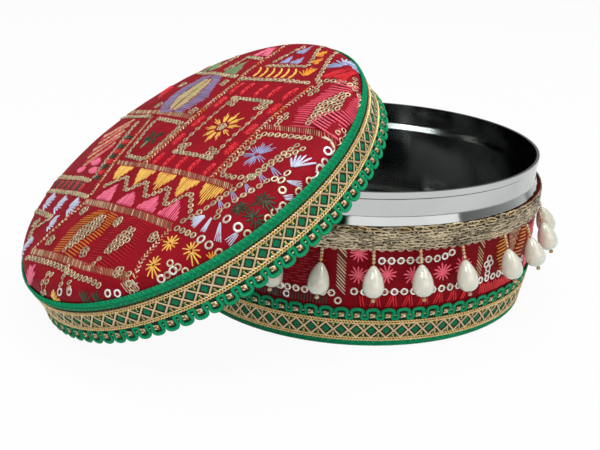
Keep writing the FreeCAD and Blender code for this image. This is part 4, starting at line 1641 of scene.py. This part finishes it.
def top_patches(cloth):
    """Along the top: curled orange strokes, rings, lilac leaves and a bright red one."""
    for across in (0, 5.5, 11, 17, 22.5, 28):
        curl(cloth, (across + 4, 57), (across, 65.5), bow=-1.6, floss="marigold", width=0.85)
    fan(cloth, (40, 60), aim_deg=120, spread_deg=70, radius=9, rays=6, floss="amber")
    for path in ([(2, 67), (33, 68.5)], [(33, 68.5), (19, 92)], [(50, 58), (36, 84)], [(4, 70), (10, 88)]):
        sequin_row(cloth, path, pitch=3.3, radius=1.5)
    for foot, way in (((29, 79), (0.3, 1)), ((33, 72), (0.4, 1))):
        flame_leaf(cloth, foot, way, width=7, reach=6, floss="amber")
    for foot, way in (((14, 80), (0.1, 1)), ((13, 70), (-0.1, 1)), ((21, 70), (0, 1))):
        flame_leaf(cloth, foot, way, width=6.5, reach=8, floss="iris")
    flame_leaf(cloth, (57, 60.8), (0.15, 1), width=15, reach=12.5, floss="scarlet", pitch=0.9)
    fan(cloth, (54, 72), aim_deg=110, spread_deg=170, radius=10, rays=14, floss="iris", width=1.1)
    fan(cloth, (51, 74), aim_deg=95, spread_deg=100, radius=7, rays=8, floss="lilac")
    sequin_row(cloth, [(64, 66), (72, 58)], pitch=3.3, radius=1.5)


def left_patches(cloth):
    """On the left: a green star in a frame, a violet comb eye, leaves, stepped pink fans and dark ladders."""
    petals(cloth, (-20, 1), radius=8, aims_deg=(40, 140, 195, 250, 330), floss="bottle", strands=4,
           spread_mm=1.5)
    cloth.stitch((-21, -1), (-22, -7), "sage", 1.2)
    for path, pitch in (([(-37, 17), (-7, 13.5)], 3.3), ([(-7.5, 12), (-7, -15)], 3.5),
                        ([(-8, -15), (-28, -13)], 3.3), ([(-28, -12), (-37, 15)], 3.5)):
        sequin_row(cloth, path, pitch=pitch, radius=1.6)
    violet_eye = [(58, -46, -24), (48, -52, -18), (38, -54, -12), (28, -48, -15), (23, -42, -18)]
    khaki_leaf = [(54, -38, -31), (46, -43, -27), (38, -44, -25), (30, -39, -27), (25, -36, -30)]
    comb_eye(cloth, violet_eye, khaki_leaf, "violet", pitch=1.2, width=0.9)
    comb_eye(cloth, khaki_leaf, [(54, -34, -34), (25, -34, -34)], "khaki", pitch=1.2, width=1.0)
    for middle in ((-10, 24), (-14, 50), (-55, 30), (-58, 50)):
        clover(cloth, middle, aim_deg=30, rings=4)
    for foot, way, floss in (((-22, 59), (0.1, 1), "sage"), ((-50, 64), (-0.2, 1), "sage"),
                             ((-16, 77), (0, 1), "rose")):
        flame_leaf(cloth, foot, way, width=13, reach=13, floss=floss)
    for path in ([(-62, 63), (-9, 56)], [(-27, 76), (-10, 74)], [(-30, 62), (-26, 78)],
                 [(-44, 66), (-40, 80)], [(-89, 22), (-48, 19)]):
        sequin_row(cloth, path, pitch=3.4)
    sequin_row(cloth, [(-56, 15), (-38.5, -31)], pitch=3.3, radius=1.6)
    ladder = ((-50, 3), (-39, -32)), ((-42, 3), (-32, -32))
    bars(cloth, *ladder, count=9, flosses=("olive", "scarlet"), width=1.6)
    lower_ladder = ((-86, -31), (-42, -34.5)), ((-87, -37), (-40, -41))
    bars(cloth, *lower_ladder, count=12, flosses=("olive", "blood"), width=1.7)
    for path in ([(-88, -28.5), (-39, -33)], [(-87, -39), (-26, -43.5)]):
        gold_chain(cloth, path)
        sequin_row(cloth, path, pitch=3.6)
    for middle, reach in (((-55, -22), 6.5), ((-64, -27), 5.5), ((-48, -28), 5.5)):
        fan(cloth, middle, aim_deg=80, spread_deg=130, radius=reach, rays=10, floss="rose", width=1.0)
    for k in range(5):
        start, end = Vector((-82 + 4 * k, 4 - 6.5 * k)), Vector((-64 + 2.2 * k, 17 - 5 * k))
        gold_chain(cloth, [start, end], width=1.0)
        floss = "scarlet" if k % 2 else "coral"
        tassel(cloth, start + Vector((1, -3)), end + Vector((0.5, -2.5)), floss, strands=3, spread_mm=0.8,
               width=0.9)
    for middle in ((-70, -49), (-52.5, -51), (-37, -52)):
        fan(cloth, middle, aim_deg=20, spread_deg=110, radius=8.5, rays=9, floss="lilac", width=1.1)
    for middle in ((-42, -63), (-50, -77)):
        fan(cloth, middle, aim_deg=20, spread_deg=110, radius=7, rays=8, floss="lilac", width=1.0)
    sequin_row(cloth, [(-77, -53), (-45, -58)], pitch=3.4)
    sequin_row(cloth, [(-45, -58), (-56, -66), (-50, -72)], pitch=3.3)
    clover(cloth, (-58, -62), aim_deg=20, rings=5)
    fan(cloth, (-74, 42), aim_deg=30, spread_deg=120, radius=10, rays=12, floss="scarlet", width=1.1)
    fan(cloth, (-63, 66), aim_deg=90, spread_deg=120, radius=9, rays=10, floss="coral")


def inside_lid(point):
    """True for a flat point far enough from the lid's edge to sew at."""
    return Vector(point).length < COVER_RADIUS - SEWING_MARGIN


lid_work = Cloth(on_lid, seed=5, inside=inside_lid)
for patch in (gold_bands, daisy_patch, flame_patch, eye_patch, lower_edge, right_patches, top_patches,
              left_patches):
    patch(lid_work)
made_up(lid_work, "lid", "lid", lid_place)

# Lid lace: the same trimming as round the foot, glued round the lid's skirt with its corded edge up, so that
# its loops of gimp hang a little past the skirt and spread outwards.
LID_SKIRT_FACE = LID_BORE + SHEET + FABRIC + 2 * GLUE_GAP
FLARE_START = 14.6
FLARE = 0.31
COVER_ROUNDING = 0.1
LID_CORD_MIDDLE = 0.5
LID_CORD_HALF = 2.0


def lid_face(across):
    """The radius and height of the lid lace's back at a distance from its corded edge."""
    rounding = COVER_ROUNDING * min(0.0, across) ** 2
    return LID_SKIRT_FACE + FLARE * max(0.0, across - FLARE_START) - rounding, -across


lid_lace = Lace(lid_face, LID_CORD_MIDDLE, LID_CORD_HALF, LID_SKIRT_FACE + 1.0)
lid_ground = strip_profile(lambda height: LID_SKIRT_FACE, -GROUND_TOP, -2 * CORD_RADIUS, 0.0,
                           GROUND_THICKNESS)
lid_lace.sew("lid", "lid", lid_place, lid_ground)
for unit in (floss_unit, sequin_unit):
    bpy.data.objects.remove(unit)

# Stage: a floor of white paper that runs out of sight, four softboxes and a wide window in a dim studio, and
# the camera where the photograph was taken from.
EYE = Vector((-271.73, -492.85, 224.95)) * MM
AIM = Vector((-26.61, 15.47, 28.58)) * MM
ROLL = math.radians(2.09)
LENS = 64.42
SENSOR = 36.0
MIDDLE = Vector((-0.045, 0.0, 0.045))
FLOOR_REACH = 20.0
WHITE_TO_THE_EYE = 0.94
WHITE_IN_STEEL = 0.84
GLOW_FADE_WAY = (0.94, 0.35, 0.0)


def lit_floor():
    """Paper with shadows; it glows to the eye, and in steel as a painted reflection that fades past a line.
    """
    material = bpy.data.materials.new("floor_paper")
    material.use_nodes = True
    tree = material.node_tree
    tree.nodes.clear()
    place = in_place(tree)
    fibre = noise(tree, place, 60.0)
    paper = add_node(tree, "ShaderNodeBsdfDiffuse", {"Color": shaded(tree, fibre, (0.0, 0.70), (1.0, 0.74))})
    glow = add_node(tree, "ShaderNodeEmission", {"Color": (1, 1, 1, 1), "Strength": 1.0})
    rays = add_node(tree, "ShaderNodeLightPath")
    seen = reckoned(tree, "MULTIPLY", rays.outputs["Is Camera Ray"], WHITE_TO_THE_EYE)
    # Painted reflection: to glossy rays the paper glows white, and past a line across the floor that glow
    # fades, darkening the steel there.
    beyond = add_node(tree, "ShaderNodeVectorMath", {0: place, 1: GLOW_FADE_WAY}, operation="DOT_PRODUCT")
    glow_fade = shaded(tree, beyond.outputs["Value"], (0.13, WHITE_IN_STEEL), (0.2, 0.1))
    mirrored = reckoned(tree, "MULTIPLY", rays.outputs["Is Glossy Ray"], glow_fade)
    mixed = add_node(tree, "ShaderNodeMixShader", {0: reckoned(tree, "ADD", seen, mirrored),
                                                   1: paper.outputs["BSDF"], 2: glow.outputs["Emission"]})
    out = tree.nodes.new("ShaderNodeOutputMaterial")
    tree.links.new(mixed.outputs["Shader"], out.inputs["Surface"])
    return material


def studio_world():
    """White to the eye; to the object, a dim room that is paler near the floor."""
    world = bpy.data.worlds.new("studio")
    world.use_nodes = True
    tree = world.node_tree
    tree.nodes.clear()
    place = add_node(tree, "ShaderNodeTexCoord")
    parts = add_node(tree, "ShaderNodeSeparateXYZ", {"Vector": place.outputs["Generated"]})
    room = shaded(tree, parts.outputs["Z"], (0.0, 0.75), (0.12, 0.4), (0.35, 0.10), (1.0, 0.05))
    rays = add_node(tree, "ShaderNodeLightPath")
    soft = add_node(tree, "ShaderNodeMix", {"Factor": rays.outputs["Is Diffuse Ray"], 6: room,
                                            7: (0.3, 0.3, 0.3, 1.0)}, data_type="RGBA")
    seen = add_node(tree, "ShaderNodeMix", {"Factor": rays.outputs["Is Camera Ray"], 6: soft.outputs[2],
                                            7: (1.0, 1.0, 1.0, 1.0)}, data_type="RGBA")
    light = add_node(tree, "ShaderNodeBackground", {"Color": seen.outputs[2], "Strength": 1.0})
    out = tree.nodes.new("ShaderNodeOutputWorld")
    tree.links.new(light.outputs["Background"], out.inputs["Surface"])
    return world


def softbox(name, azimuth_deg, elevation_deg, distance, size, power):
    """A rectangular lamp at an angle round the object from the camera's side, aimed at its middle."""
    look = MIDDLE - EYE
    angle = math.atan2(-look.y, -look.x) + math.radians(azimuth_deg)
    rise = math.radians(elevation_deg)
    way = Vector((math.cos(angle) * math.cos(rise), math.sin(angle) * math.cos(rise), math.sin(rise)))
    data = bpy.data.lights.new(name, "AREA")
    data.shape = "RECTANGLE"
    data.size, data.size_y = size
    data.energy = power
    lamp = bpy.data.objects.new(name, data)
    lamp.location = MIDDLE + way * distance
    lamp.rotation_euler = way.to_track_quat("Z", "Y").to_euler()
    bpy.context.scene.collection.objects.link(lamp)


floor_mesh = bpy.data.meshes.new("floor")
floor_mesh.from_pydata([(-FLOOR_REACH, -FLOOR_REACH, 0), (FLOOR_REACH, -FLOOR_REACH, 0),
                        (FLOOR_REACH, FLOOR_REACH, 0), (-FLOOR_REACH, FLOOR_REACH, 0)], [], [(0, 1, 2, 3)])
floor_mesh.materials.append(lit_floor())
floor = bpy.data.objects.new("floor", floor_mesh)
bpy.context.scene.collection.objects.link(floor)
bpy.context.scene.world = studio_world()
softbox("key_softbox", azimuth_deg=-25, elevation_deg=62, distance=1.5, size=(0.5, 0.5), power=8)
softbox("fill_softbox", azimuth_deg=55, elevation_deg=52, distance=1.7, size=(0.8, 0.8), power=3.5)
softbox("front_window", azimuth_deg=28, elevation_deg=25, distance=1.6, size=(2.0, 0.6), power=4.5)
softbox("top_softbox", azimuth_deg=180, elevation_deg=70, distance=1.6, size=(1.0, 0.7), power=10)
softbox("side_softbox", azimuth_deg=84, elevation_deg=62, distance=1.6, size=(0.28, 0.4), power=5)

ahead = (AIM - EYE).normalized()
right = ahead.cross(Vector((0, 0, 1))).normalized()
above = right.cross(ahead)
camera_data = bpy.data.cameras.new("camera")
camera_data.lens = LENS
camera_data.sensor_width = SENSOR
camera = bpy.data.objects.new("camera", camera_data)
tilted_right = right * math.cos(ROLL) + above * math.sin(ROLL)
tilted_up = above * math.cos(ROLL) - right * math.sin(ROLL)
camera_turn = Matrix((tilted_right, tilted_up, -ahead)).transposed().to_4x4()
camera.matrix_world = Matrix.Translation(EYE) @ camera_turn
bpy.context.scene.collection.objects.link(camera)
bpy.context.scene.camera = camera

bpy.context.scene.view_settings.view_transform = "Standard"
